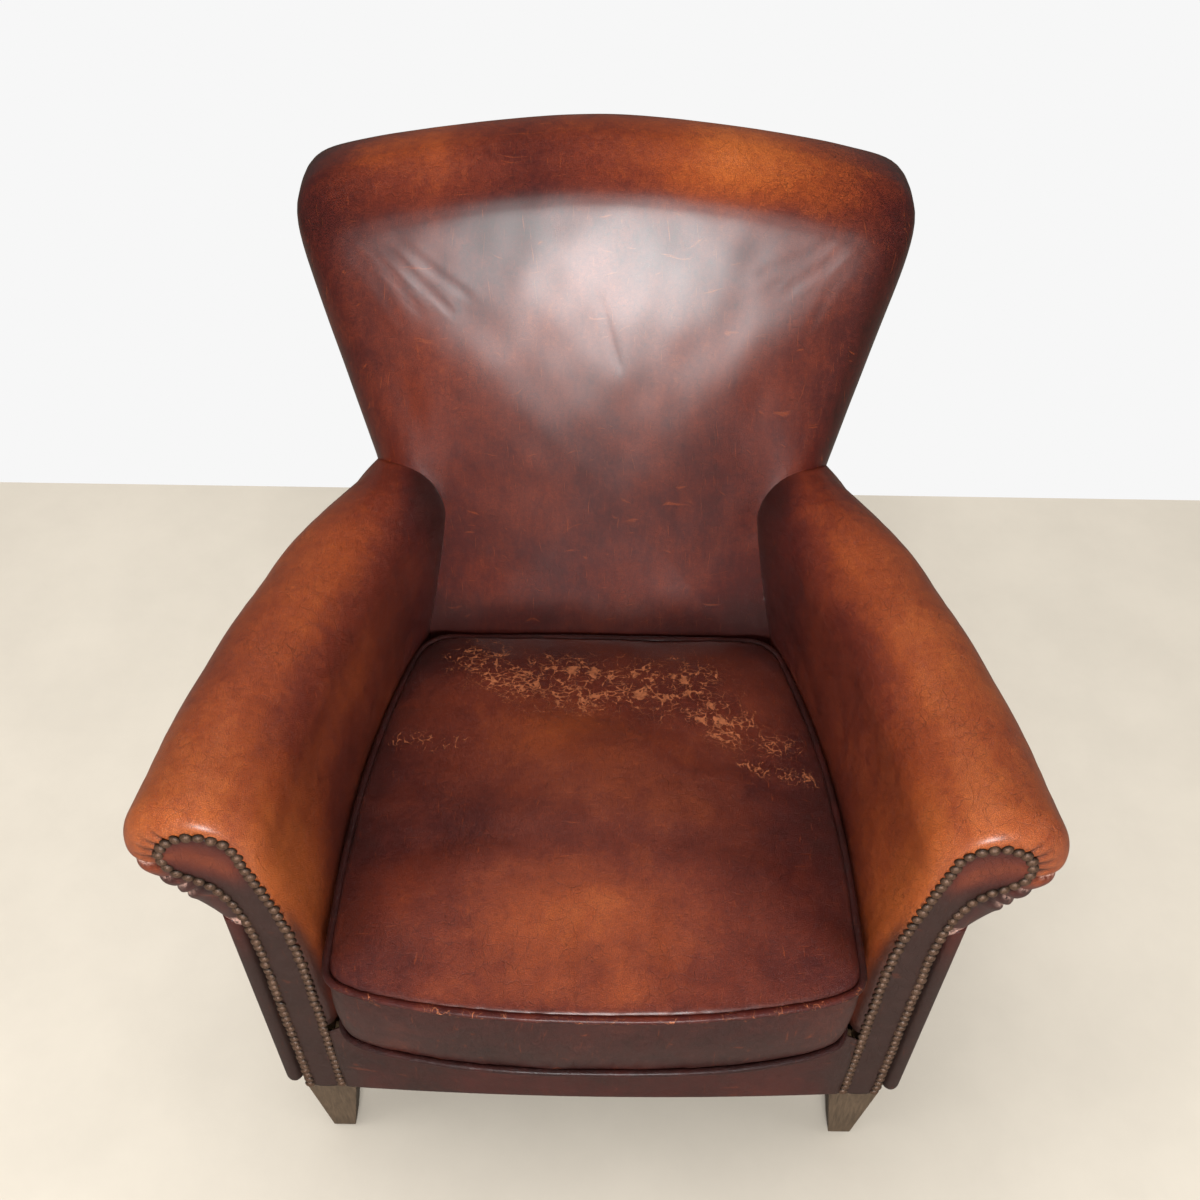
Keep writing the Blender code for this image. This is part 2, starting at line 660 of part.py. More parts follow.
def arm_frame(side, name):
    """Rear arm post, top rail and tacking rail of one arm."""
    foot_z, top_z = RAIL_TOP + GAP, roll_z(back_y(ROLL_Z)) + 0.014

    def post_x(z):
        t = (z - foot_z) / (top_z - foot_z)
        foot_x = outside_x(back_y(foot_z) - 0.045) - REAR_POST_FOOT_INSET - ARM_POST / 2
        top_x = roll_x(back_y(ROLL_Z)) - REAR_POST_TOP_INSET
        return foot_x + (top_x - foot_x) * t

    def post_front(z):
        return BACK_Y + (z - CUSHION_EDGE) * SLOPE - BACK_CROWN - ARM_POST_CLEAR - ARM_POST

    def square(z):
        x, y, half = post_x(z), post_front(z), ARM_POST / 2
        return [(side * (x - half), y, z), (side * (x + half), y, z),
                (side * (x + half), y + ARM_POST, z), (side * (x - half), y + ARM_POST, z)]

    beam(name + "_rear_arm_post", square(foot_z), square(top_z), "frame_wood")
    rails = (("_arm_top_rail", ARM_RAIL_Z, ARM_RAIL_HEIGHT, ARM_RAIL_WIDTH, SCROLL_X + ARM_RAIL_OUTSET),
             ("_arm_tacking_rail", TACK_RAIL_Z, TACK_RAIL_HEIGHT, TACK_RAIL_WIDTH,
              FACING_IN + TACK_RAIL_OUTSET))
    for suffix, low, height, width, front_x in rails:
        start = POST_BACK_Y + GAP
        ends = []
        for at_front in (True, False):
            corners = []
            for dx, z in ((-1, low), (1, low), (1, low + height), (-1, low + height)):
                x = (front_x if at_front else post_x(z)) + dx * width / 2
                y = start if at_front else post_front(z) - GAP
                corners.append((side * x, y, z))
            ends.append(corners)
        beam(name + suffix, ends[0], ends[1], "frame_wood")


# Seat

def rear_leg_x_at(rear_y):
    return outside_x(rear_y) - PANEL - 0.001 - LEG_TOP / 2


def seat_rails():
    rear_y = back_y(0.0) + BACK_DEPTH - FRAME_INSET
    front = [(-FACING_IN + GAP, POST_BACK_Y - RAIL_THICKNESS), (FACING_IN - GAP, POST_BACK_Y - RAIL_THICKNESS),
             (FACING_IN - GAP, POST_BACK_Y), (-FACING_IN + GAP, POST_BACK_Y)]
    prism("front_seat_rail", front, FRAME_FOOT, RAIL_TOP, "frame_wood")
    start = POST_BACK_Y + GAP
    inset = PANEL + 0.0015

    def rail_in(y):
        return outside_x(y) - inset - RAIL_THICKNESS

    for side, name in SIDES:
        plan = [(side * rail_in(start), start), (side * (rail_in(start) + RAIL_THICKNESS), start),
                (side * (rail_in(rear_y) + RAIL_THICKNESS), rear_y), (side * rail_in(rear_y), rear_y)]
        prism(name + "_seat_rail", plan, FRAME_FOOT, RAIL_TOP, "frame_wood")
    y = rear_y - RAIL_THICKNESS
    plan = [(-rail_in(y) + GAP, y), (rail_in(y) - GAP, y), (rail_in(rear_y) - GAP, rear_y),
            (-rail_in(rear_y) + GAP, rear_y)]
    prism("rear_seat_rail", plan, FRAME_FOOT, RAIL_TOP, "frame_wood")
    return rail_in, rear_y


def corner_blocks_and_legs(rail_in, rear_y):
    """The legs, their bolts and glides, and the glued blocks that take the bolts."""
    front_leg_x = FRONT_LEG_X
    rear_leg_x = rear_leg_x_at(rear_y)
    corners = (("front", front_leg_x, FACING_Y, FACING_Y, POST_BACK_Y + GAP, 1),
               ("rear", rear_leg_x, rear_y - LEG_TOP, rear_y - LEG_FOOT + REAR_LEG_RAKE,
                rear_y - RAIL_THICKNESS - GAP, -1))
    for side, side_name in SIDES:
        for end, leg_x, top_y, foot_y, block_y, way in corners:
            name = end + "_" + side_name
            sections = []
            for z, size, y in ((GLIDE_HEIGHT + GAP, LEG_FOOT, foot_y), (LEG_HEIGHT, LEG_TOP, top_y)):
                sections.append([(side * (leg_x + a * size / 2), y + b * size, z)
                                 for a, b in ((-1, 0), (1, 0), (1, 1), (-1, 1))])
            leg = loft(name + "_leg", sections, "stained_wood")
            soften = leg.modifiers.new("edges", "BEVEL")
            soften.width = LEG_EDGE
            soften.segments = 2
            bolt_x = leg_x - BOLT_SHIFT[end]
            bolt_y = block_y + way * BOLT_INSET
            block_x = rail_in(block_y) - GAP
            far_x = rail_in(block_y + way * BLOCK_SIDE) - GAP
            tip = BLOCK_SIDE / 6
            plan = [(side * block_x, block_y), (side * (block_x - BLOCK_SIDE), block_y),
                    (side * (block_x - BLOCK_SIDE), block_y + way * tip),
                    (side * (far_x - tip), block_y + way * BLOCK_SIDE),
                    (side * far_x, block_y + way * BLOCK_SIDE)]
            block = prism(name + "_corner_block", plan, FRAME_FOOT, FRAME_FOOT + BLOCK_HEIGHT, "frame_wood")
            hole = BOLT_RADIUS + BOLT_CLEARANCE
            drill(leg, hole, LEG_HEIGHT - BOLT_INTO_LEG - GAP, LEG_HEIGHT + 0.01, side * bolt_x, bolt_y)
            drill(block, hole, FRAME_FOOT - 0.01, FRAME_FOOT + BOLT_INTO_BLOCK + GAP, side * bolt_x, bolt_y)
            cylinder(name + "_leg_bolt", BOLT_RADIUS, LEG_HEIGHT - BOLT_INTO_LEG, FRAME_FOOT + BOLT_INTO_BLOCK,
                     side * bolt_x, bolt_y, "bolt_steel")
            cylinder(name + "_leg_glide", GLIDE_RADIUS, 0.0, GLIDE_HEIGHT, side * leg_x, foot_y + LEG_FOOT / 2,
                     "glide_plastic")


def seat_springs(rear_y):
    """Zigzag springs from the front rail to the rear rail, arched up to the deck pad."""
    first, last = POST_BACK_Y - SPRING_INTO_FRONT, rear_y - SPRING_INTO_REAR
    low = RAIL_TOP + GAP + SPRING_WIRE
    high = DECK_HEIGHT - DECK_PAD - GAP - SPRING_WIRE
    for index in range(SPRING_COUNT):
        middle = (index - (SPRING_COUNT - 1) / 2) * SPRING_SPREAD / (SPRING_COUNT - 1)
        points = []
        for bend in range(SPRING_BENDS):
            swing = SPRING_SWING if bend % 2 else -SPRING_SWING
            for share in (0.12, 0.5, 0.88):
                t = (bend + share) / SPRING_BENDS
                reach = 1.0 if share == 0.5 else 0.72
                points.append((middle + swing * reach, first + (last - first) * t,
                               low + (high - low) * math.sin(math.pi * t)))
        points[0] = (points[0][0], points[0][1], low)
        tube(f"seat_spring_{index + 1}", points, SPRING_WIRE, "spring_steel")


def deck():
    """The pad on the springs, the leather over the front rail, and the cloth underneath."""
    front, rear = FACING_Y + 0.024, BACK_Y - 0.044
    steps = 7
    half = []
    for k in range(steps):
        y = front + (rear - front) * k / (steps - 1)
        half.append((inner_face_x(y) - 0.0035, y))
    outline = half + [(-x, y) for x, y in reversed(half)]
    prism("seat_deck_pad", outline, DECK_HEIGHT - DECK_PAD, DECK_HEIGHT, "foam")

    top = DECK_HEIGHT + GAP + HIDE
    foot = OUTSIDE_FOOT - 0.001
    wide, narrow = FACING_IN - NAIL_HEAD / 2 - 0.0008, SEAT_WIDTH / 2 - 0.003
    face = FACING_Y - RAIL_COVER_STAND
    tuck = FRONT_LEG_X - LEG_TOP / 2 - 0.003
    path = ((0.0095, foot, tuck, 0), (0.0030, foot, tuck, 0.3), (0, LEG_HEIGHT + 0.004, wide, 1),
            (0, 0.18, wide, 1), (0, COVER_FOOT - 0.006, wide, 1), (0.001, top - 0.013, narrow, 1),
            (0.006, top - 0.004, narrow, 0.7), (0.020, top, narrow, 0.2), (RAIL_COVER_REACH, top, narrow, 0))
    rows = []
    for back, z, half_width, bow in path:
        row = []
        for k in range(-6, 7):
            t = k / 6
            row.append((half_width * t, face + back - RAIL_COVER_BOW * bow * (1 - t * t), z))
        rows.append(row)
    points, faces = grid(rows)
    shell("front_rail_cover", points, faces, "dark_leather", HIDE, towards=(0, 0, -1))


def dust_cover(rear_y, rail_in):
    leg_in = FRONT_LEG_X - LEG_TOP / 2 - 0.001
    rear_in = rear_leg_x_at(rear_y) - LEG_TOP / 2 - 0.001
    front = POST_BACK_Y - RAIL_THICKNESS + 0.004
    half = [(leg_in, front), (leg_in, FACING_Y + LEG_TOP + 0.001),
            (rail_in(FACING_Y + LEG_TOP) + 0.012, FACING_Y + LEG_TOP + 0.001),
            (rail_in(rear_y - LEG_TOP) + 0.012, rear_y - LEG_TOP - 0.001),
            (rear_in, rear_y - LEG_TOP - 0.001), (rear_in, rear_y - 0.004)]
    outline = half + [(-x, y) for x, y in reversed(half)]
    prism("dust_cover", outline, FRAME_FOOT - GAP - DUST_CLOTH, FRAME_FOOT - GAP, "dust_cloth")


# Back

def back_frame(rear_y):
    """Back posts, camel top rail, lower rail and the webbing straps."""
    front_depth = BACK_FOAM + STRAP_THICKNESS + 2 * GAP + 0.0001

    top = BACK_HEIGHT - BACK_POST_DROP
    bends = [BACK_FLARE_HEIGHT + (top - BACK_FLARE_HEIGHT) * share for share in BACK_POST_BENDS]
    heights = (RAIL_TOP + GAP, KINK_HEIGHT, BACK_FLARE_HEIGHT, *bends, top)
    insides = [back_half_width(z) - BACK_POST_INSET for z in heights]

    def post_in(z):
        for z0, z1, x0, x1 in zip(heights, heights[1:], insides, insides[1:]):
            if z <= z1 or z1 == heights[-1]:
                return x0 + (x1 - x0) * (z - z0) / (z1 - z0)
    for side, name in SIDES:
        sections = []
        for z in heights:
            x, y = post_in(z), back_y(z) + front_depth
            sections.append([(side * x, y, z), (side * (x + BACK_POST_WIDTH), y, z),
                             (side * (x + BACK_POST_WIDTH), y + BACK_POST_DEPTH, z),
                             (side * x, y + BACK_POST_DEPTH, z)])
        loft(name + "_back_post", sections, "frame_wood")

    depth = front_depth + RAIL_SETBACK
    low_drop = TOP_RAIL_DROP + TOP_RAIL_HEIGHT
    sections = []
    for k in range(-6, 7):
        t = k / 6
        corners = []
        for drop, back in ((low_drop, 0), (low_drop, RAIL_THICKNESS), (TOP_RAIL_DROP, RAIL_THICKNESS),
                           (TOP_RAIL_DROP, 0)):
            z = crest_z(t * 0.24) - drop
            x = t * (post_in(z) - GAP)
            corners.append((x, back_y(z) + depth + back, z))
        sections.append(corners)
    loft("back_top_rail", sections, "frame_wood")

    ends = []
    for side in (LEFT, RIGHT):
        corners = []
        for z, back in ((LOWER_RAIL_Z, 0), (LOWER_RAIL_Z, RAIL_THICKNESS),
                        (LOWER_RAIL_Z + LOWER_RAIL_HEIGHT, RAIL_THICKNESS),
                        (LOWER_RAIL_Z + LOWER_RAIL_HEIGHT, 0)):
            corners.append((side * (post_in(z) - GAP), back_y(z) + depth + back, z))
        ends.append(corners)
    beam("back_lower_rail", ends[0], ends[1], "frame_wood")

    for index, z in enumerate(STRAP_HEIGHTS):
        ends = []
        for side in (LEFT, RIGHT):
            corners = []
            for level, back in ((z, 0), (z, STRAP_THICKNESS), (z + STRAP_HEIGHT, STRAP_THICKNESS),
                                (z + STRAP_HEIGHT, 0)):
                x = post_in(z) + BACK_POST_WIDTH - 0.001
                corners.append((side * x, back_y(level) + BACK_FOAM + GAP + back, level))
            ends.append(corners)
        beam(f"back_strap_{index + 1}", ends[0], ends[1], "webbing")


def capped_rings(rings, closed_rear):
    """Rings stacked from the middle of a face outwards, the first one capped."""
    count = len(rings[0])
    points = [p for ring in rings for p in ring]
    faces = [tuple(range(count))]
    for row in range(len(rings) - 1):
        for i in range(count):
            j = (i + 1) % count
            faces.append((row * count + i, (row + 1) * count + i, (row + 1) * count + j, row * count + j))
    if closed_rear:
        faces.append(tuple((len(rings) - 1) * count + i for i in range(count))[::-1])
    return points, faces, count


def back_padding_and_covers():
    foot = DECK_HEIGHT + GAP + HIDE + 0.0007
    rings = [back_ring(foot, share, depth * BACK_CROWN) for share, depth in BACK_RINGS]
    rings += [back_ring(foot, share, depth) for share, depth in BACK_ROUND]
    rings += [back_ring(foot, 1.0, (CREST_DEPTH + BACK_DEPTH) / 2), back_ring(foot, 1.0, BACK_DEPTH - 0.012),
              back_ring(foot, 0.988, BACK_DEPTH)]
    points, faces, count = capped_rings(rings, closed_rear=False)
    open_rows = range(len(rings) - 4, len(rings) - 1)
    keep = []
    for face in faces:
        row = min(face) // count
        heights = [points[v][2] for v in face]
        at_foot = len(face) == 4 and row in open_rows and max(heights) < foot + 0.03
        if not at_foot:
            keep.append(face)
    shell("back_cover", points, keep, "worn_leather", HIDE, towards=(0, -1, 0))

    inner = HIDE + BACK_CORE
    rings = [back_ring(foot, share, depth * BACK_CROWN + inner, inner) for share, depth in BACK_RINGS]
    rings += [back_ring(foot, share, depth + inner, inner) for share, depth in BACK_ROUND]
    rings.append(back_ring(foot, 1.0, BACK_FOAM, inner))
    points, faces, _ = capped_rings(rings, closed_rear=True)
    mesh = build_mesh("back_foam", points, faces)
    face_outwards(mesh)
    place("back_foam", mesh, "foam")


def outside_back():
    """The leather panel that closes the rear, from the crest to the foot of the frame."""
    depth = BACK_DEPTH + GAP + PANEL

    def seat(x, z):
        return (x, back_y(z) + depth, z)

    low = outside_x(back_y(0) + depth) - GAP
    tuck = outside_x(back_y(TUCK_HEIGHT) + depth) - GAP
    loop = [(x, z) for x, z in back_loop(DECK_HEIGHT)]
    crest = []
    for x, z in loop:
        if z > TUCK_HEIGHT + 0.03:
            height = BACK_MIDDLE + (z - BACK_MIDDLE) * REAR_SHARE
            crest.append((x * REAR_SHARE, height - crest_fall(height, BACK_DEPTH)))
    upper = [(low, KINK_HEIGHT), (tuck, TUCK_HEIGHT)] + crest + [(-tuck, TUCK_HEIGHT), (-low, KINK_HEIGHT)]
    lower = [(-low, OUTSIDE_FOOT), (low, OUTSIDE_FOOT)]
    points = [seat(x, z) for x, z in upper + lower]
    count = len(upper)
    faces = [tuple(range(count)), (0, count - 1, count, count + 1)]
    shell("outside_back_cover", points, faces, "dark_leather", PANEL, towards=(0, 1, 0))


# Seat cushion

def cushion_loop():
    """The cushion's top seam in plan, anticlockwise from the middle of the front."""
    front = FACING_Y - CUSHION_OVERHANG
    rear = BACK_Y - CUSHION_REAR_GAP
    half_front = CUSHION_WIDTH / 2

    def side_x(y):
        return min(half_front, inner_face_x(y) - CUSHION_CLEAR)

    corner = FRONT_CORNER_ROUND
    loop = [(half_front * t, front + CUSHION_BOW * t ** 2.5) for t in (0.0, 0.2, 0.4, 0.6, 0.8)]
    edge = front + CUSHION_BOW
    loop += bezier((half_front - corner, edge - corner * 0.17), (half_front - corner * 0.3, edge),
                   (half_front, edge + corner * 0.3), (half_front, edge + corner), 3)
    first, last = edge + corner, rear - REAR_CORNER_ROUND
    for k in range(1, 7):
        y = first + (last - first) * k / 6
        loop.append((side_x(y), y))
    x = side_x(last)
    loop += bezier((x, last), (x - 0.003, last + REAR_CORNER_ROUND * 0.6), (x - REAR_CORNER_ROUND * 0.5, rear),
                   (x - REAR_CORNER_ROUND * 1.1, rear), 4, first=1)
    loop.append((ZIP_WIDTH / 2, rear))
    loop.append((ZIP_WIDTH / 4, rear))
    other = [(-x, y) for x, y in reversed(loop[1:])]
    return loop + [(0.0, rear)] + other


def cushion_ring(share, z, inset=0.0):
    middle = (FACING_Y - CUSHION_OVERHANG + BACK_Y - CUSHION_REAR_GAP) / 2
    length = BACK_Y - CUSHION_REAR_GAP - middle
    lean = min(z - CUSHION_EDGE, 0.0) * SLOPE
    ring = []
    for x, y in cushion_loop():
        reach = math.hypot(x, y - middle)
        k = share * (1 - inset / reach)
        behind = max((y - middle) / length, 0.0)
        ring.append((x * k, middle + (y - middle) * k + lean * behind ** 4, z))
    return ring


def seat_cushion():
    """Boxed cushion: leather case with a zip at the rear, piped seams and a foam core."""
    low, high = CUSHION_FOOT, CUSHION_EDGE
    zip_low = (low + high) / 2 - ZIP_HEIGHT / 2
    crown = CUSHION_CROWN
    levels = ((0.50, low), (0.955, low), (0.9755, low + 0.0010), (1.0, low + 0.0125), (1.012, zip_low),
              (1.012, zip_low + ZIP_HEIGHT), (1.0, high - 0.010), (0.9755, high + 0.0025),
              (0.86, high + crown * 0.60), (0.62, high + crown * 0.92), (0.30, high + crown))
    rings = [cushion_ring(share, z) for share, z in levels]
    points, faces, count = capped_rings(rings, closed_rear=True)
    zip_row = 4
    keep = []
    for face in faces:
        if len(face) == 4 and min(face) // count == zip_row:
            xs = [points[v][0] for v in face]
            ys = [points[v][1] for v in face]
            if min(ys) > BACK_Y - 0.06 and max(abs(x) for x in xs) < ZIP_WIDTH / 2 * 1.02:
                continue
        keep.append(face)
    shell("seat_cushion_cover", points, keep, "seat_leather", HIDE, towards=(0, 0, -1))

    inner = HIDE + CUSHION_CORE
    rings = []
    for share, z in levels:
        lift = inner if z < (low + high) / 2 else -inner
        rings.append(cushion_ring(share, z + lift, inner))
    points, faces, _ = capped_rings(rings, closed_rear=True)
    mesh = build_mesh("seat_cushion_foam", points, faces)
    face_outwards(mesh)
    place("seat_cushion_foam", mesh, "foam")

    middle = (FACING_Y - CUSHION_OVERHANG + BACK_Y - CUSHION_REAR_GAP) / 2
    rear = middle + (BACK_Y - CUSHION_REAR_GAP - middle) * 1.012
    half = ZIP_WIDTH / 2 * 1.012 - GAP
    ends = []
    for x in (-half, half):
        corners = []
        for z, back in ((zip_low + 2 * GAP, -HIDE), (zip_low + 2 * GAP, 0),
                        (zip_low + ZIP_HEIGHT - 2 * GAP, 0), (zip_low + ZIP_HEIGHT - 2 * GAP, -HIDE)):
            corners.append((x, rear + back + (z - CUSHION_EDGE) * SLOPE, z))
        ends.append(corners)
    beam("seat_cushion_zip", ends[0], ends[1], "webbing")

    for name, z in (("top", high - 0.0020), ("bottom", low + 0.0048)):
        tube(f"seat_cushion_{name}_piping", cushion_ring(1.005, z), PIPING_RADIUS, "piping_leather",
             resolution=1, cyclic=True)


def build_arm(side, name):
    arm_cover(side, name)
    arm_padding(side, name)
    outside_arm(side, name)
    facing(side, name)
    front_post(side, name)
    nail_trim(side, name)
    arm_frame(side, name)


def shade_parts():
    for part in PARTS.objects:
        part.data.shade_smooth()
        part.data.set_sharp_from_angle(angle=math.radians(35))


clear_scene()
PARTS = make_collection("club_chair")
CUTTERS = make_collection("cutters")
RAIL_IN, REAR_Y = seat_rails()
corner_blocks_and_legs(RAIL_IN, REAR_Y)
seat_springs(REAR_Y)
deck()
dust_cover(REAR_Y, RAIL_IN)
for arm_side, arm_name in SIDES:
    build_arm(arm_side, arm_name)
back_frame(REAR_Y)
back_padding_and_covers()
outside_back()
seat_cushion()
shade_parts()
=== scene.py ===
"""Looks of a worn leather club chair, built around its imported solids.

The file is laid out as an add-on and run as a script. Metres, +Z up; the chair faces -Y.
"""
import math

import bmesh
import bpy
import numpy as np
from bpy.props import FloatProperty, FloatVectorProperty, PointerProperty
from mathutils import Matrix, Vector


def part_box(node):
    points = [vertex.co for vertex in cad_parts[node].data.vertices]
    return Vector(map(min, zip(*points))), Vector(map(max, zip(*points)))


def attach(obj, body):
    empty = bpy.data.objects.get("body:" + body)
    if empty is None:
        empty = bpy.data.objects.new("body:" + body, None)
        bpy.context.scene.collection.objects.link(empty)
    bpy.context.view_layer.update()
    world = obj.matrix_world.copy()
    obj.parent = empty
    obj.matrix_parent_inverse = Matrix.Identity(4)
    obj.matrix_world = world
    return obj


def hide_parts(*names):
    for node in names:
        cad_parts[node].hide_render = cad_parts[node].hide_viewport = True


bl_info = {
    "name": "Worn club chair",
    "version": (1, 0, 0),
    "blender": (4, 5, 0),
    "location": "3D View > Sidebar > Club chair",
    "description": "Dresses a leather club chair: covers, nails, cushion, piping and legs",
    "category": "Object",
}

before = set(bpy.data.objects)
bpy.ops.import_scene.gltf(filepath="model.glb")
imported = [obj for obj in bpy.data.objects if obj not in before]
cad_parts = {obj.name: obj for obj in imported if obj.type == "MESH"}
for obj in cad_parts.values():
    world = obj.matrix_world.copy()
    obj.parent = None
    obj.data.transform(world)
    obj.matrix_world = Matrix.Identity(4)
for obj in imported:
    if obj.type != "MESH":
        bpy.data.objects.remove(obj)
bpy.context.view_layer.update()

# The chair's lines, as its source gives them
FACING_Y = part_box("left_arm_facing")[0].y
SEAT_WIDTH = 0.524
SEAT_TAPER = 0.072
TAPER_POWER = 2.7
SEAT_DEPTH = 0.4295
ARM_RUN = SEAT_DEPTH + 0.0285
BACK_Y = FACING_Y + SEAT_DEPTH
ARM_ROLL = 0.063
ROLL_Z = 0.571
ROLL_LEAN = 0.023
ROLL_REAR_LEAN = -0.008
ROLL_REAR_DROP = 0.024
ROLL_BULGE = 0.017
TUCK_HEIGHT = 0.468
TUCK_LIP = 0.003
TUCK_ANGLE = math.radians(-40)
OUTSIDE_WIDTH = 0.684
OUTSIDE_SPLAY = 0.1426
FRONT_ROUND = 0.030
FACING_IN = 0.279
FACING_OUT = 0.314
SCROLL_X = 0.338
SCROLL_Z = 0.578
SCROLL_RADIUS = 0.033
COVER_FOOT = 0.265
CUSHION_EDGE = 0.4097
CUSHION_FOOT = 0.2875
SLOPE = math.tan(math.radians(17.5))
BACK_HEIGHT = 0.9255
BACK_FOOT_WIDTH = 0.507
BACK_TOP_WIDTH = 0.647
BACK_SHOULDER = 0.0855
BACK_FLARE_HEIGHT = 0.580
CREST_DROP = 0.044
CREST_DEPTH = 0.052
CREST_FALL = 0.026
BACK_DEPTH = 0.130
BACK_CROWN = 0.016
BACK_MIDDLE = 0.60
KINK_HEIGHT = 0.330
LEG_HEIGHT = 0.115

# Lines that only the leather's meshes use
LEATHER = 0.0016  # thickness of the covers
PANEL = 0.003  # thickness of the outside panels, with their wadding
PANEL_FOOT = LEG_HEIGHT - 0.0005
PANEL_FOOT_ROUND = 0.014
PANEL_STAND = 0.0085  # gap from the outer nail row to an outside-arm panel
PANEL_HALF = 0.0098  # half the width of that panel's front edge
PANEL_NOSE = 0.011  # depth of that panel's rounded front edge
FACE_FOOT_Z = 0.36  # where the arm's inner face starts to lean outwards
FACE_BEND_Z = (0.45, 0.48)
BACK_EDGE = 0.052  # depth over which the back's face rounds into its sides
BACK_REAR_ROUND = 0.014
BACK_FACE_SHARE = 0.84  # share of the back's outline that its flat face fills
BACK_PANEL_GAP = 0.0033
BACK_PANEL_SHARE = 0.985
CUSHION_BOW = 0.057  # how far the cushion stands out in front of the facings
CUSHION_FRONT_CURVE = 0.030
CUSHION_REAR_GAP = 0.0178
CUSHION_FRONT_WIDTH = 0.505
CUSHION_SIDE_GAP = 0.0086
CUSHION_CORNER = 0.020
SEAM_REACH = 0.0062  # leather this near a seam of the cushion stays where it is
SWELL_FRAMES = 20
SIDES = ((-1, "left"), (1, "right"))
ENDS = ("front", "rear")

FRAME_WOOD_NODES = [
    "back_top_rail", "back_lower_rail", "front_seat_rail", "rear_seat_rail",
    *[f"{side}_{part}" for _, side in SIDES for part in (
        "seat_rail", "front_arm_post", "rear_arm_post", "arm_top_rail", "arm_tacking_rail", "back_post")],
    *[f"{end}_{side}_corner_block" for end in ENDS for _, side in SIDES],
]


def srgb(red, green, blue):
    """A colour written as 0 to 255 values, as the shader wants it."""
    def linear(value):
        value /= 255
        return value / 12.92 if value <= 0.04045 else ((value + 0.055) / 1.055) ** 2.4
    return linear(red), linear(green), linear(blue)


class ChairSizes(bpy.types.PropertyGroup):
    nail_head: FloatProperty(
        name="Nail head", description="Width of a nail's domed head",
        default=0.0112, min=0.004, max=0.02, subtype="DISTANCE", unit="LENGTH")
    nail_rise: FloatProperty(
        name="Nail rise", description="How far a nail's dome stands out",
        default=0.0040, min=0.001, max=0.008, subtype="DISTANCE", unit="LENGTH")
    row_pitch: FloatProperty(
        name="Row pitch", description="Spacing of the nails in the upright rows",
        default=0.0113, min=0.008, max=0.03, subtype="DISTANCE", unit="LENGTH")
    scroll_pitch: FloatProperty(
        name="Scroll pitch", description="Spacing of the nails round the scroll",
        default=0.0104, min=0.008, max=0.03, subtype="DISTANCE", unit="LENGTH")
    pleat_depth: FloatProperty(
        name="Pleat depth", description="Depth of the pleats under the scroll",
        default=0.0042, min=0.0, max=0.01, subtype="DISTANCE", unit="LENGTH")
    piping: FloatProperty(
        name="Piping", description="Radius of the cushion's piping",
        default=0.0040, min=0.001, max=0.008, subtype="DISTANCE", unit="LENGTH")
    crown: FloatProperty(
        name="Cushion crown", description="How far the cushion's middle stands above its seam",
        default=0.033, min=0.0, max=0.06, subtype="DISTANCE", unit="LENGTH")


def colour(name, description, default):
    return FloatVectorProperty(name=name, description=description, default=default, size=3,
                               min=0.0, max=1.0, subtype="COLOR")


class ChairColours(bpy.types.PropertyGroup):
    # Darker copies of this colour are also laid into creases, gaps between parts and under overhangs as
    # painted shade.
    blackened: colour("Blackened", "Leather in the creases and where it is never rubbed", srgb(42, 14, 11))
    maroon: colour("Maroon", "The leather's original red-brown", srgb(76, 23, 17))
    russet: colour("Russet", "Leather that has been handled", srgb(112, 42, 22))
    rust: colour("Rust", "Leather that is rubbed", srgb(150, 66, 26))
    cognac: colour("Cognac", "Leather that is rubbed most", srgb(184, 94, 38))
    taupe: colour("Taupe", "The smooth leather of the facings and outside arms", srgb(54, 34, 29))
    raw: colour("Raw", "Bare hide where the surface has cracked away", srgb(190, 112, 72))
    nail: colour("Nail", "Antique nail heads", srgb(112, 84, 66))
    leg: colour("Leg", "Stained wood of the legs", srgb(88, 71, 54))
    floor: colour("Floor", "The plain pale floor", srgb(212, 203, 188))


def sizes():
    return bpy.context.scene.chair_sizes


def colours():
    return bpy.context.scene.chair_colours


# Shapes in numpy

def waves(points, size, seed, count=14):
    """Smooth noise, about -1 to 1, with features of the given size."""
    generator = np.random.default_rng(seed)
    directions = generator.normal(size=(count, 3))
    directions /= np.linalg.norm(directions, axis=1)[:, None]
    lengths = generator.uniform(0.6, 1.6, count) * size
    phases = generator.uniform(0, 2 * math.pi, count)
    waves_at = np.sin(points @ directions.T * (2 * math.pi / lengths) + phases)
    return waves_at.sum(axis=1) / math.sqrt(count) * 0.8


def smooth(value, low, high):
    t = np.clip((np.asarray(value, float) - low) / (high - low), 0.0, 1.0)
    return t * t * (3 - 2 * t)


def bump_at(value, centre, width):
    """A soft bump of height 1 round a centre."""
    return np.exp(-((np.asarray(value, float) - centre) / width) ** 2)


def crease(near, depth, width, ridge, ridge_at, ridge_width):
    """A fold's valley and the low ridge beside it, from the distance to its line."""
    return ridge * bump_at(near, ridge_at, ridge_width) - depth * bump_at(near, 0.0, width)


def bernstein(t):
    s = 1 - t
    return s ** 3, 3 * s * s * t, 3 * s * t * t, t ** 3


def cubic(a, b, c, d, steps):
    """Points on a cubic curve after a, up to d."""
    weights = np.array([bernstein(k / steps) for k in range(1, steps + 1)])
    return weights @ np.array([a, b, c, d], float)


def resample(line, count, closed=False):
    """Evenly spaced points along a line."""
    line = np.asarray(line, float)
    if closed:
        line = np.vstack([line, line[:1]])
    length = np.concatenate([[0], np.cumsum(np.linalg.norm(np.diff(line, axis=0), axis=1))])
    at = np.linspace(0, length[-1], count, endpoint=not closed)
    return np.stack([np.interp(at, length, line[:, k]) for k in range(line.shape[1])], axis=1)


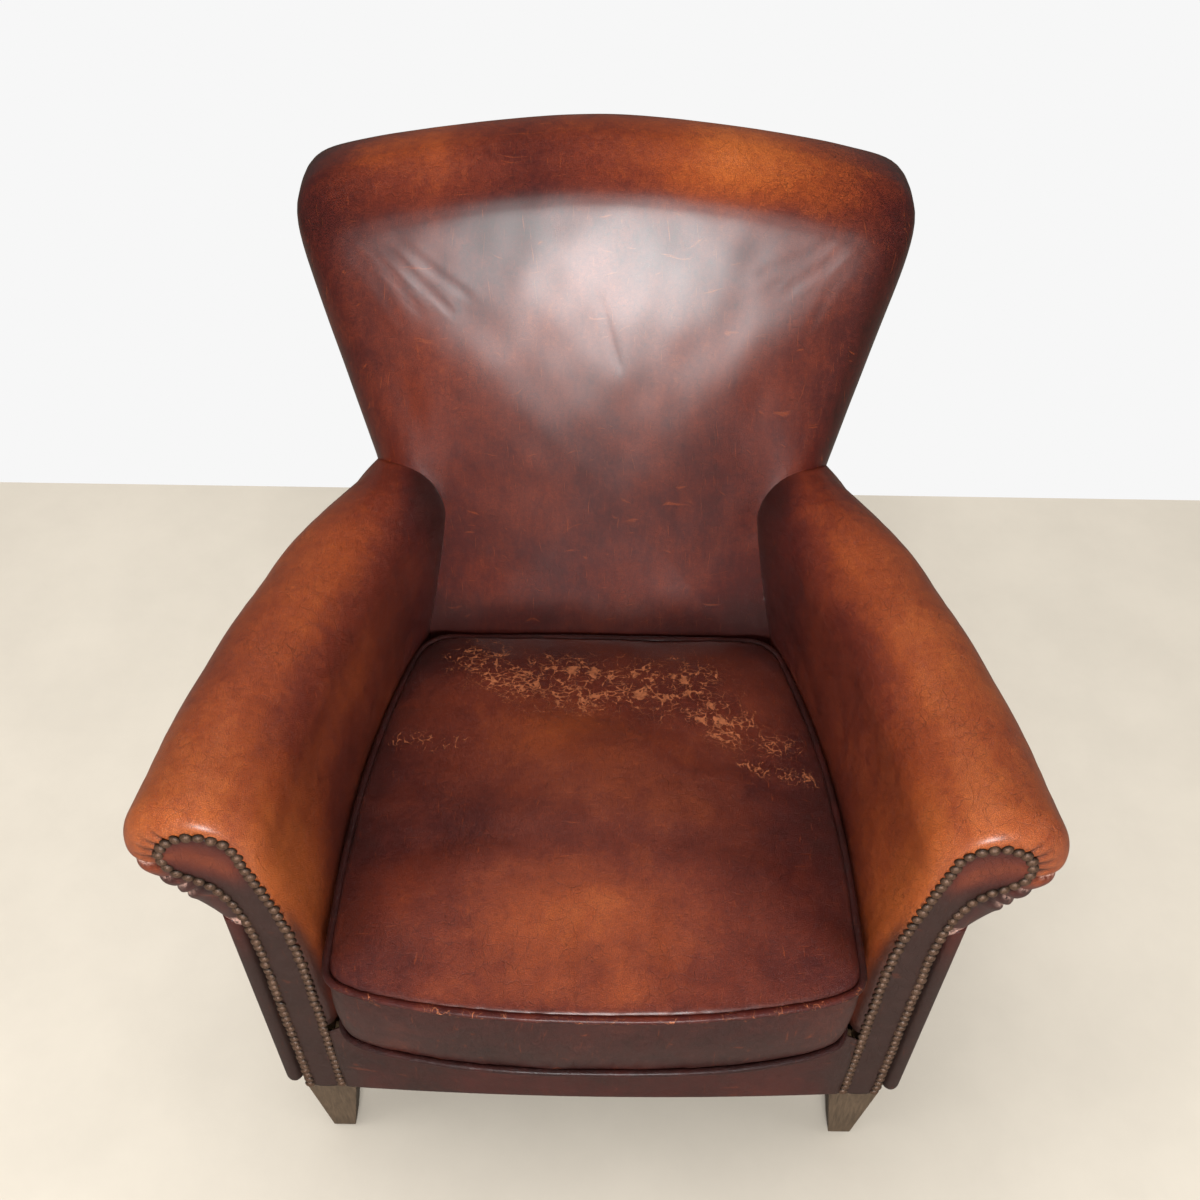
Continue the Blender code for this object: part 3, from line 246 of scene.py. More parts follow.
def soften(line, rounds, closed=True):
    """The line with its corners eased."""
    for _ in range(rounds):
        if closed:
            line = (np.roll(line, 1, axis=0) + 2 * line + np.roll(line, -1, axis=0)) / 4
        else:
            line = np.vstack([line[:1], (line[:-2] + 2 * line[1:-1] + line[2:]) / 4, line[-1:]])
    return line


def distance_to(points, line):
    """Distance from each point to a polyline, in the polyline's own number of dimensions."""
    line = np.asarray(line, float)
    points = points[:, :line.shape[1]]
    best = np.full(len(points), 1e9)
    for a, b in zip(line, line[1:]):
        along = b - a
        t = np.clip((points - a) @ along / (along @ along), 0, 1)
        best = np.minimum(best, np.linalg.norm(points - a - t[:, None] * along, axis=1))
    return best


def grid_normals(grid):
    across = np.gradient(grid, axis=1)
    along = np.gradient(grid, axis=0)
    normals = np.cross(across, along)
    return normals / np.maximum(np.linalg.norm(normals, axis=2, keepdims=True), 1e-12)


# Meshes

def grid_faces(rows, columns, wrap=False):
    """The four-sided faces between the rows of a grid of points."""
    faces = []
    for row in range(rows - 1):
        here, above = row * columns, (row + 1) * columns
        for i in range(columns if wrap else columns - 1):
            j = (i + 1) % columns
            faces.append((here + i, here + j, above + j, above + i))
    return faces


def make_piece(name, points, faces, towards=None):
    """A smooth-shaded mesh object. Its first face looks towards the given direction."""
    mesh = bpy.data.meshes.new(name)
    mesh.from_pydata([tuple(map(float, p)) for p in points], [], faces)
    shape = bmesh.new()
    shape.from_mesh(mesh)
    bmesh.ops.recalc_face_normals(shape, faces=shape.faces)
    shape.faces.ensure_lookup_table()
    if towards is not None and shape.faces[0].normal.dot(Vector(towards)) < 0:
        bmesh.ops.reverse_faces(shape, faces=shape.faces)
    shape.to_mesh(mesh)
    shape.free()
    mesh.shade_smooth()
    piece = bpy.data.objects.new(name, mesh)
    bpy.context.scene.collection.objects.link(piece)
    return piece


def coordinates(piece):
    values = np.empty(len(piece.data.vertices) * 3)
    piece.data.vertices.foreach_get("co", values)
    return values.reshape(-1, 3)


def move_points(piece, points):
    piece.data.vertices.foreach_set("co", np.asarray(points, np.float64).ravel())
    piece.data.update()


def vertex_normals(piece):
    values = np.empty(len(piece.data.vertices) * 3)
    piece.data.vertex_normals.foreach_get("vector", values)
    return values.reshape(-1, 3)


def paint(piece, **masks):
    """Keep a value from 0 to 1 at each point, for the material to read."""
    for name, values in masks.items():
        layer = piece.data.attributes.get(name) or piece.data.attributes.new(name, "FLOAT", "POINT")
        layer.data.foreach_set("value", np.clip(values, 0, 1).astype(np.float32))


def thicken(piece, thickness):
    solid = piece.modifiers.new("thickness", "SOLIDIFY")
    solid.thickness = thickness
    solid.offset = -1.0


def dress(piece, material, slot, *nodes):
    """Give a piece its material and its place in the frame."""
    piece.data.materials.clear()
    piece.data.materials.append(material)
    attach(piece, "root")
    if nodes:
        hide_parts(*nodes)
    return piece


def closed_tube(name, line, radius, sides=14):
    """A closed cord along a line, with one radius for each point."""
    line = np.asarray(line, float)
    count = len(line)
    tangent = np.roll(line, -1, axis=0) - np.roll(line, 1, axis=0)
    tangent /= np.linalg.norm(tangent, axis=1)[:, None]
    side = np.cross(tangent, (0.0, 0.0, 1.0))
    side /= np.linalg.norm(side, axis=1)[:, None]
    over = np.cross(side, tangent)
    rings = []
    for i in range(count):
        rings.append([line[i] + radius[i] * (math.cos(a) * side[i] + math.sin(a) * over[i])
                      for a in np.linspace(0, 2 * math.pi, sides, endpoint=False)])
    faces = []
    for row in range(count):
        here, after = row * sides, (row + 1) % count * sides
        for i in range(sides):
            j = (i + 1) % sides
            faces.append((here + i, here + j, after + j, after + i))
    return make_piece(name, np.array(rings).reshape(-1, 3), faces)


# Materials

class Graph:
    """Short names for building a material's nodes."""

    def __init__(self, name):
        self.material = bpy.data.materials.new(name)
        self.material.use_nodes = True
        self.tree = self.material.node_tree
        self.shader = self.tree.nodes["Principled BSDF"]

    def add(self, kind, inputs=(), **settings):
        node = self.tree.nodes.new("ShaderNode" + kind)
        for key, value in settings.items():
            setattr(node, key, value)
        for key, value in dict(inputs).items():
            self.feed(node.inputs[key], value)
        return node

    def feed(self, socket, value):
        if isinstance(value, bpy.types.NodeSocket):
            self.tree.links.new(value, socket)
        else:
            socket.default_value = value

    def maths(self, operation, a, b=0.0, c=0.0):
        return self.add("Math", {0: a, 1: b, 2: c}, operation=operation).outputs[0]

    def mix(self, factor, a, b):
        node = self.add("Mix", data_type="RGBA")
        self.feed(node.inputs["Factor"], factor)
        self.feed(node.inputs["A"], a)
        self.feed(node.inputs["B"], b)
        return node.outputs["Result"]

    def span(self, value, low, high, to_low=0.0, to_high=1.0):
        node = self.add("MapRange", {"Value": value, "From Min": low, "From Max": high, "To Min": to_low,
                                     "To Max": to_high}, interpolation_type="SMOOTHSTEP")
        return node.outputs["Result"]

    def place(self):
        return self.add("TexCoord").outputs["Object"]

    def stretched(self, vector, scale, turn=(0.0, 0.0, 0.0)):
        return self.add("Mapping", {"Vector": vector, "Scale": scale, "Rotation": turn}).outputs["Vector"]

    def noise(self, vector, scale, detail=4.0, rough=0.55, warp=0.0):
        node = self.add("TexNoise", {"Vector": vector, "Scale": scale, "Detail": detail, "Roughness": rough,
                                     "Distortion": warp})
        return node.outputs["Fac"]

    def cells(self, vector, scale, feature="F1"):
        node = self.add("TexVoronoi", {"Vector": vector, "Scale": scale}, feature=feature)
        return node.outputs["Distance"]

    def painted(self, name):
        return self.add("Attribute", attribute_name=name).outputs["Fac"]

    def ramp(self, value, stops):
        node = self.add("ValToRGB", {"Fac": value})
        elements = node.color_ramp.elements
        while len(elements) < len(stops):
            elements.new(0.5)
        for element, (position, tint) in zip(elements, stops):
            element.position = position
            element.color = (*tint, 1.0)
        return node.outputs["Color"]

    def bump(self, height, distance, strength=1.0, normal=None):
        node = self.add("Bump", {"Height": height, "Distance": distance, "Strength": strength})
        if normal is not None:
            self.feed(node.inputs["Normal"], normal)
        return node.outputs["Normal"]


def warped(graph, vector, scale, amount):
    """The coordinate pushed about by noise, so that lines drawn on it wander."""
    push = graph.add("TexNoise", {"Vector": vector, "Scale": scale, "Detail": 3.0})
    centred = graph.add("VectorMath", {0: push.outputs["Color"], 1: (0.5, 0.5, 0.5)}, operation="SUBTRACT")
    scaled = graph.add("VectorMath", {0: centred.outputs[0], "Scale": amount}, operation="SCALE")
    return graph.add("VectorMath", {0: vector, 1: scaled.outputs[0]}, operation="ADD").outputs[0]


def worn_through(graph, place):
    """Where the surface has cracked or flaked away: 1 on bare hide, 0 elsewhere."""
    crack = graph.painted("crack")
    crack_place = warped(graph, graph.stretched(place, (1.35, 0.85, 1.0)), 42.0, 0.030)
    crack_cells = graph.cells(crack_place, 44.0, "DISTANCE_TO_EDGE")
    broken = graph.span(graph.noise(place, 62.0, 5.0, 0.75), 0.46, 0.68, 0.0, 0.12)
    crack_width = graph.maths("MULTIPLY", crack, broken)
    hair_cells = graph.cells(warped(graph, graph.stretched(place, (0.9, 1.5, 1.0)), 60.0, 0.020), 100.0,
                             "DISTANCE_TO_EDGE")
    hair_broken = graph.span(graph.noise(place, 40.0, 4.0, 0.7), 0.42, 0.60, 0.0, 0.080)
    hair_width = graph.maths("MULTIPLY", crack, hair_broken)
    crack_lines = graph.maths("MAXIMUM", graph.maths("LESS_THAN", crack_cells, crack_width),
                              graph.maths("LESS_THAN", hair_cells, hair_width))
    ragged = graph.maths("SUBTRACT", graph.noise(place, 95.0, 6.0, 0.75, 0.8), 0.5)
    flake_edge = graph.maths("MULTIPLY_ADD", ragged, 2.6, graph.painted("flake"))
    flakes = graph.span(flake_edge, 0.62, 0.68)
    return graph.maths("MAXIMUM", crack_lines, flakes)


def leather(name, base=0.3, spread=1.0, shine=0.38, grain=1.0, gloss=0.45, sheen=0.36,
            streaks=(14.0, 14.0, 3.5), cracked=False):
    """Aged aniline leather. Painted masks: wear, soil, taupe, crack, flake, pale, pebble."""
    tints = colours()
    graph = Graph(name)
    place = graph.place()
    broad = graph.noise(place, 7.0, 4.0, 0.6, 0.6)
    middle = graph.noise(place, 34.0, 5.0, 0.68, 0.4)
    fine = graph.noise(place, 210.0, 3.0, 0.7)
    streak = graph.noise(graph.stretched(place, streaks), 6.0, 5.0, 0.7, 0.3)

    wear = graph.maths("ADD", graph.painted("wear"), base)
    for source, amount in ((broad, 0.40), (middle, 0.34), (streak, 0.34), (fine, 0.26)):
        wear = graph.maths("MULTIPLY_ADD", graph.maths("SUBTRACT", source, 0.5), amount * spread, wear)
    tone = graph.ramp(wear, ((0.0, tints.blackened), (0.26, tints.maroon), (0.50, tints.russet),
                             (0.74, tints.rust), (1.0, tints.cognac)))

    smooth_hide = graph.mix(graph.span(middle, 0.25, 0.75), (*[c * 0.72 for c in tints.taupe], 1),
                            (*tints.taupe, 1))
    tone = graph.mix(graph.painted("taupe"), tone, smooth_hide)

    pebbles = graph.cells(warped(graph, place, 300.0, 0.0009), 640.0, "DISTANCE_TO_EDGE")
    pebble_lines = graph.span(pebbles, 0.0, 0.16)
    pores = graph.cells(place, 1150.0)
    wander = warped(graph, place, 26.0, 0.030)
    folds = graph.cells(wander, 55.0, "DISTANCE_TO_EDGE")
    fold_where = graph.span(graph.noise(place, 11.0, 3.0), 0.46, 0.62)
    fold_lines = graph.maths("MULTIPLY", graph.span(folds, 0.030, 0.0), fold_where)
    crazes = graph.cells(warped(graph, place, 60.0, 0.012), 120.0, "DISTANCE_TO_EDGE")
    craze_where = graph.span(graph.noise(place, 17.0, 4.0, 0.6), 0.52, 0.66)
    craze_lines = graph.maths("MULTIPLY", graph.span(crazes, 0.045, 0.0), craze_where)

    scratch_at = graph.stretched(warped(graph, place, 5.0, 0.06), (620.0, 64.0, 24.0), (0.35, 0.2, 0.5))
    scratch = graph.span(graph.noise(scratch_at, 1.0, 2.0, 0.5), 0.66, 0.75)
    cross_at = graph.stretched(warped(graph, place, 7.0, 0.05), (26.0, 520.0, 60.0), (0.2, 0.5, -0.6))
    scratch_two = graph.span(graph.noise(cross_at, 1.0, 2.0, 0.5), 0.67, 0.76)
    scratches = graph.maths("MAXIMUM", scratch, scratch_two)

    tone = graph.mix(graph.maths("MULTIPLY", scratches, 0.50 * grain ** 2), tone, (*tints.rust, 1))
    tone = graph.mix(graph.maths("MULTIPLY", craze_lines, 0.42), tone, (*tints.blackened, 1))
    tone = graph.mix(graph.maths("MULTIPLY", fold_lines, 0.26), tone, (*tints.blackened, 1))
    between_pebbles = graph.maths("SUBTRACT", 1.0, pebble_lines)
    tone = graph.mix(graph.maths("MULTIPLY", between_pebbles, 0.42 * grain), tone, (*tints.blackened, 1))

    # Near-black over the painted mask: real grime, and painted shade in creases, recesses, gaps between parts
    # and under overhangs.
    soil = graph.maths("MULTIPLY", graph.painted("soil"), graph.span(middle, 0.1, 0.6, 0.75, 1.0))
    tone = graph.mix(soil, tone, (*[c * 0.45 for c in tints.blackened], 1))

    bare = worn_through(graph, place) if cracked else 0.0
    bare_tone = graph.mix(graph.span(fine, 0.3, 0.7), (*[c * 0.62 for c in tints.raw], 1), (*tints.raw, 1))
    tone = graph.mix(graph.maths("MULTIPLY", bare, 0.85), tone, bare_tone)

    pale = graph.maths("MULTIPLY", graph.painted("pale"), graph.span(fine, 0.35, 0.55))
    tone = graph.mix(pale, tone, (*srgb(205, 160, 145), 1))
    graph.feed(graph.shader.inputs["Base Color"], tone)

    rough = graph.span(middle, 0.2, 0.8, shine - 0.04, shine + 0.16)
    rough = graph.maths("MULTIPLY_ADD", bare, 0.40, rough)
    rough = graph.maths("MULTIPLY_ADD", soil, 0.15, rough)
    graph.feed(graph.shader.inputs["Roughness"], rough)
    graph.shader.inputs["Specular IOR Level"].default_value = sheen
    graph.shader.inputs["Coat Weight"].default_value = gloss
    graph.shader.inputs["Coat Roughness"].default_value = 0.30

    pebble_mask = graph.maths("MULTIPLY_ADD", graph.painted("pebble"), 0.9, 0.42 * grain)
    relief = graph.maths("MULTIPLY", pebble_lines, pebble_mask)
    normal = graph.bump(relief, 0.00080)
    normal = graph.bump(graph.maths("MULTIPLY", pores, grain), 0.00022, 1.0, normal)
    normal = graph.bump(graph.noise(place, 60.0, 3.0, 0.6), 0.0012, 1.0, normal)
    lines = graph.maths("MULTIPLY", graph.maths("ADD", fold_lines, craze_lines), 0.45)
    lines = graph.maths("ADD", lines, graph.maths("MULTIPLY", scratches, 0.25))
    lines = graph.maths("ADD", lines, bare)
    normal = graph.bump(graph.maths("MULTIPLY", lines, -1.0), 0.00060, 1.0, normal)
    graph.feed(graph.shader.inputs["Normal"], normal)
    return graph.material


def nail_metal():
    tints = colours()
    graph = Graph("antique_nail_heads")
    place = graph.place()
    spots = graph.noise(place, 700.0, 4.0, 0.7)
    # Dark rims of the nail heads: tarnish, and painted shade between the heads.
    tarnish_and_shade = graph.painted("soil")
    tone = graph.mix(graph.span(spots, 0.35, 0.65), (*[c * 0.45 for c in tints.nail], 1), (*tints.nail, 1))
    tone = graph.mix(graph.maths("MULTIPLY", tarnish_and_shade, 0.9), tone, (0.012, 0.007, 0.004, 1))
    graph.feed(graph.shader.inputs["Base Color"], tone)
    graph.feed(graph.shader.inputs["Metallic"], graph.maths("MULTIPLY_ADD", tarnish_and_shade, -0.4, 0.55))
    graph.feed(graph.shader.inputs["Roughness"], graph.span(spots, 0.3, 0.7, 0.34, 0.55))
    graph.feed(graph.shader.inputs["Normal"], graph.bump(spots, 0.0003))
    return graph.material


def wood(name, tint, dark, shine, run=(60.0, 60.0, 5.0)):
    graph = Graph(name)
    place = graph.place()
    grain = graph.noise(graph.stretched(place, run), 9.0, 6.0, 0.65, 0.5)
    fibre = graph.noise(graph.stretched(place, tuple(r * 6 for r in run)), 6.0, 3.0, 0.6)
    blotch = graph.noise(place, 22.0, 3.0)
    tone = graph.mix(graph.span(grain, 0.32, 0.68), (*dark, 1), (*tint, 1))
    tone = graph.mix(graph.span(fibre, 0.50, 0.72, 0.0, 0.35), tone, (*[c * 0.6 for c in dark], 1))
    lighter = [min(c * 1.35, 1) for c in tint]
    tone = graph.mix(graph.span(blotch, 0.35, 0.75, 0.0, 0.25), tone, (*lighter, 1))
    graph.feed(graph.shader.inputs["Base Color"], tone)
    graph.feed(graph.shader.inputs["Roughness"], graph.span(grain, 0.2, 0.8, shine, shine + 0.16))
    graph.feed(graph.shader.inputs["Normal"], graph.bump(fibre, 0.00015, 0.6))
    return graph.material


def woven(name, tint, size=0.0016, rough=0.85):
    graph = Graph(name)
    place = graph.place()
    turns = 2 * math.pi / size
    split = graph.add("SeparateXYZ", {0: place})
    over = graph.maths("SINE", graph.maths("MULTIPLY", split.outputs[0], turns))
    under = graph.maths("SINE", graph.maths("MULTIPLY", split.outputs[1], turns))
    rise = graph.maths("SINE", graph.maths("MULTIPLY", split.outputs[2], turns))
    weave = graph.maths("ADD", graph.maths("MULTIPLY", over, under), graph.maths("MULTIPLY", over, rise))
    tone = graph.mix(graph.span(weave, -1.0, 1.0), (*[c * 0.6 for c in tint], 1), (*tint, 1))
    graph.feed(graph.shader.inputs["Base Color"], tone)
    graph.shader.inputs["Roughness"].default_value = rough
    graph.feed(graph.shader.inputs["Normal"], graph.bump(weave, 0.0003))
    return graph.material


def foam_material():
    graph = Graph("cushion_foam")
    place = graph.place()
    bubbles = graph.cells(place, 700.0)
    stain = graph.span(graph.noise(place, 12.0), 0.3, 0.7)
    tone = graph.mix(stain, (0.60, 0.50, 0.28, 1), (0.74, 0.66, 0.42, 1))
    graph.feed(graph.shader.inputs["Base Color"], tone)
    graph.shader.inputs["Roughness"].default_value = 0.95
    graph.feed(graph.shader.inputs["Normal"], graph.bump(bubbles, 0.0006))
    return graph.material


def metal(name, tint, rough):
    graph = Graph(name)
    marks = graph.noise(graph.stretched(graph.place(), (40.0, 40.0, 400.0)), 4.0, 4.0)
    tone = graph.mix(graph.span(marks, 0.3, 0.7), (*[c * 0.8 for c in tint], 1), (*tint, 1))
    graph.feed(graph.shader.inputs["Base Color"], tone)
    graph.shader.inputs["Metallic"].default_value = 1.0
    graph.feed(graph.shader.inputs["Roughness"], graph.span(marks, 0.2, 0.8, rough, rough + 0.15))
    return graph.material


def moulded(name, tint):
    graph = Graph(name)
    speckle = graph.noise(graph.place(), 900.0, 2.0)
    tone = graph.mix(graph.span(speckle, 0.3, 0.7), (*[c * 0.85 for c in tint], 1), (*tint, 1))
    graph.feed(graph.shader.inputs["Base Color"], tone)
    graph.shader.inputs["Roughness"].default_value = 0.5
    graph.feed(graph.shader.inputs["Normal"], graph.bump(speckle, 0.0001))
    return graph.material


# The arm's lines

def inner_face_x(y):
    share = np.clip((y - FACING_Y) / ARM_RUN, 0, 1.1)
    return SEAT_WIDTH / 2 - SEAT_TAPER * share ** TAPER_POWER


def roll_x(y):
    share = np.clip((y - FACING_Y) / ARM_RUN, 0, 1.1)
    front = SEAT_WIDTH / 2 + ROLL_LEAN + ARM_ROLL
    rear = SEAT_WIDTH / 2 - SEAT_TAPER + ROLL_REAR_LEAN + ARM_ROLL
    return front + (rear - front) * share + ROLL_BULGE * 4 * share * (1 - share)


def roll_z(y):
    return ROLL_Z - ROLL_REAR_DROP * np.clip((y - FACING_Y) / ARM_RUN, 0, 1.1) ** 2


def outside_x(y):
    return OUTSIDE_WIDTH / 2 - OUTSIDE_SPLAY * (y - FACING_Y)


FACE_STEPS, BEND_STEPS, ROLL_STEPS, TUCK_STEPS = 8, 24, 110, 36


def arm_weights():
    """How each point of the arm's section follows the inner face, the roll and the outside panel."""
    rows = [(1, 0, 0, 0, z, 0) for z in np.linspace(COVER_FOOT, FACE_FOOT_Z, FACE_STEPS)[:-1]]
    for k in range(BEND_STEPS + 1):
        w = bernstein(k / BEND_STEPS)
        roll = w[2] + w[3]
        z = w[0] * FACE_FOOT_Z + w[1] * FACE_BEND_Z[0] + w[2] * FACE_BEND_Z[1] + w[3] * ROLL_Z
        rows.append((w[0] + w[1], roll, 0, -roll * ARM_ROLL, z, roll))
    for k in range(1, ROLL_STEPS + 1):
        a = math.pi - (math.pi - TUCK_ANGLE) * k / ROLL_STEPS
        rows.append((0, 1, 0, ARM_ROLL * math.cos(a), ROLL_Z + ARM_ROLL * math.sin(a), 1))
    start = np.array(rows[-1], float)
    end = np.array((0, 0, 1, TUCK_LIP + 0.003, TUCK_HEIGHT, 0), float)
    for k in range(1, TUCK_STEPS + 1):
        t = k / TUCK_STEPS
        row = start + (end - start) * t
        row[3] += 0.0045 * math.sin(math.pi * t)
        row[4] -= 0.0035 * math.sin(math.pi * t)
        rows.append(tuple(row))
    return np.array(rows, float).T


WEIGHTS = arm_weights()


def arm_x(y):
    face, roll, outside, shift = WEIGHTS[:4]
    return face * inner_face_x(y) + roll * roll_x(y) + outside * outside_x(y) + shift


def arm_z(y):
    return WEIGHTS[4] + WEIGHTS[5] * (roll_z(y) - ROLL_Z)


def scroll_line():
    """The nail line on the facing, point for point with the arm's section."""
    line = [(FACING_IN, z) for z in np.linspace(COVER_FOOT, FACE_FOOT_Z, FACE_STEPS)]
    left = SCROLL_X - SCROLL_RADIUS
    line += list(cubic((FACING_IN, FACE_FOOT_Z), (FACING_IN, FACE_BEND_Z[1]), (left - 0.008, 0.530),
                       (left, SCROLL_Z), BEND_STEPS))
    for k in range(1, ROLL_STEPS + 1):
        a = math.pi - (math.pi - TUCK_ANGLE) * k / ROLL_STEPS
        line.append((SCROLL_X + SCROLL_RADIUS * math.cos(a), SCROLL_Z + SCROLL_RADIUS * math.sin(a)))
    line += list(cubic(line[-1], (FACING_OUT + 0.034, SCROLL_Z - 0.034),
                       (FACING_OUT + 0.010, SCROLL_Z - 0.040), (FACING_OUT + 0.003, TUCK_HEIGHT), TUCK_STEPS))
    return np.array(line, float)


def nail_line():
    """The nail line from the foot of the inner row, round the scroll, to the foot of the outer row."""
    foot = LEG_HEIGHT + 0.0035
    below_tuck = (FACING_OUT, TUCK_HEIGHT - 0.045)
    return np.vstack([[(FACING_IN, foot)], scroll_line(), [below_tuck, (FACING_OUT, foot)]])


def back_plane(z):
    """The y of the leaning plane that the back is built on."""
    return BACK_Y + (z - CUSHION_EDGE) * SLOPE


def back_half_width(z):
    shoulder = BACK_HEIGHT - BACK_SHOULDER
    t = np.clip((z - BACK_FLARE_HEIGHT) / (shoulder - BACK_FLARE_HEIGHT), 0, 1)
    ease = np.where(t > 0.9, np.sin(t * math.pi / 2) ** 0.5, t * 1.03)
    return (BACK_FOOT_WIDTH + (BACK_TOP_WIDTH - BACK_FOOT_WIDTH) * np.minimum(ease, 1.0)) / 2


def back_depth(share):
    """Depth of the back's padded face behind its plane, at a share of its half width."""
    share = np.asarray(share, float)
    crown = -BACK_CROWN * (1 - np.minimum(share / 0.86, 1.12) ** 2.2)
    turn = np.clip((share - BACK_FACE_SHARE) / (1 - BACK_FACE_SHARE), 0, 1)
    return np.minimum(crown, 0.0) + BACK_EDGE * (1 - np.sqrt(np.maximum(1 - turn ** 2, 0)))


def crest_fall(z, depth):
    """How far the crest has rolled down at a depth behind the plane of the back."""
    rise = np.clip((z - BACK_HEIGHT + BACK_SHOULDER) / BACK_SHOULDER, 0, 1)
    return CREST_FALL * rise * max((depth - CREST_DEPTH) / (BACK_DEPTH - CREST_DEPTH), 0.0) ** 2


def on_back(ring, depth):
    """Points of the back from its outline in (x, z), at a depth behind its plane."""
    z = ring[:, 1] - crest_fall(ring[:, 1], depth)
    return np.stack([ring[:, 0], back_plane(z) + depth, z], axis=1)


def arm_end():
    """Where each point of the arm's section meets the back."""
    z = arm_z(back_plane(arm_z(BACK_Y)))
    plane = back_plane(z)
    x = arm_x(plane)
    half = back_half_width(z)
    start = 0.85 * half
    inside_y = plane + back_depth(x / half) + 0.004
    widest = roll_x(plane) + ARM_ROLL
    turn = np.clip((x - start) / (widest - start), 0, 1) * math.pi / 2
    outside_end_x = start + 0.145 * half * np.sin(turn)
    outside_end_y = plane + 0.002 + 0.056 * (1 - np.cos(turn))
    inner = x <= start
    return np.where(inner, x, outside_end_x), np.where(inner, inside_y, outside_end_y), z, plane


# Each pleat's distance along the nail line below the tip of the scroll, its width and its share of the depth
PLEATS = ((0.010, 0.0030, 1.0), (0.0255, 0.0034, 1.1), (0.0415, 0.0034, 1.1), (0.0560, 0.0028, 0.9))
# The short gathers above the tip, by the same distance and width
NICKS = ((-0.030, 0.0014), (-0.020, 0.0018), (-0.0105, 0.0020), (-0.0015, 0.0018))


def arm_grid():
    """The arm cover's surface on the +X side, with masks for its material."""
    line = scroll_line()
    count = len(line)
    rows, turns = [], []
    nose = 26
    for k in range(nose + 1):
        turn = k / nose * math.pi / 2
        y = FACING_Y + FRONT_ROUND * (1 - math.cos(turn)) - 0.0016 * math.sin(2 * turn)
        x = line[:, 0] + (arm_x(y) - line[:, 0]) * math.sin(turn)
        z = line[:, 1] + (arm_z(y) - line[:, 1]) * math.sin(turn)
        rows.append(np.stack([x, np.full(count, y), z], axis=1))
        turns.append(turn)
    lead = FACING_Y + FRONT_ROUND
    begin = lead + 0.72 * (BACK_Y - lead)
    for y in np.linspace(lead, begin, 46)[1:]:
        rows.append(np.stack([arm_x(y), np.full(count, y), arm_z(y)], axis=1))
        turns.append(math.pi / 2 + (y - lead) / FRONT_ROUND)
    end_x, end_y, end_z, plane = arm_end()
    for k in range(1, 29):
        t = k / 28
        y = begin + (end_y - begin) * t
        x, z = arm_x(np.minimum(y, plane)), arm_z(np.minimum(y, plane))
        rows.append(np.stack([x + (end_x - x) * t ** 5, y, z + (end_z - z) * t ** 5], axis=1))
        turns.append(99.0)
    grid = np.array(rows)
    turns = np.minimum(np.array(turns), 6.0)[:, None]

    along = np.concatenate([[0], np.cumsum(np.linalg.norm(np.diff(line, axis=0), axis=1))])
    tip = int(np.argmin(np.hypot(line[:, 0] - SCROLL_X - SCROLL_RADIUS, line[:, 1] - SCROLL_Z)))
    below = (along - along[tip])[None, :]
    fade = np.clip(1 - (turns / 1.9) ** 2, 0, 1)
    lift = np.zeros(grid.shape[:2])
    pale = np.zeros_like(lift)
    soil = np.zeros_like(lift)
    for at, width, share in PLEATS:
        centre = at + 0.0030 * np.sin(turns * 2.2 + at * 300)
        groove = bump_at(below, centre, width * (0.7 + 0.4 * turns))
        lift -= sizes().pleat_depth * groove * fade * share
        lift += 0.35 * sizes().pleat_depth * bump_at(below, centre + 0.0068, 0.0048) * fade
        # Painted shade in the pleat's groove.
        soil += 0.8 * bump_at(below, centre, width * 0.8) * np.clip(1.0 - turns / 1.0, 0, 1)
        thread = smooth(turns, 0.25, 0.5) * (1 - smooth(turns, 0.85, 1.25))
        pale += bump_at(below, centre + 0.0010, 0.0011) * thread
    for at, width in NICKS:
        groove = bump_at(below, at - 0.0035 * turns, width)
        lift -= 0.0020 * groove * np.clip(1 - turns / 0.75, 0, 1)
        # Painted shade in the gather's groove.
        soil += 1.0 * groove * np.clip(1.15 - turns / 0.62, 0, 1)
    # Painted shade under the scroll's tip and along the arm's edge beside the nail line.
    under = smooth(below, -0.012, 0.004)
    soil += 0.85 * np.clip(1 - turns / 0.28, 0, 1) * under
    soil += 0.55 * np.clip(1 - turns / 0.16, 0, 1)

    edge = np.arange(count)[None, :] >= count - 3
    pale += edge * (1 - smooth(grid[..., 1], FACING_Y + 0.02, FACING_Y + 0.06)) * 0.9

    flat = grid.reshape(-1, 3)
    lift += (waves(flat, 0.11, 5).reshape(lift.shape) * 0.0009
             + waves(flat, 0.035, 6).reshape(lift.shape) * 0.00025) * smooth(turns, 0.6, 2.5)
    normals = grid_normals(grid)
    outward = grid[..., 0] - roll_x(np.clip(grid[..., 1], FACING_Y, BACK_Y))
    if (normals[:, FACE_STEPS + BEND_STEPS + ROLL_STEPS // 2, 2]).mean() < 0:
        normals = -normals
    grid = grid + normals * lift[..., None]
    return grid, turns, below, outward, pale, soil


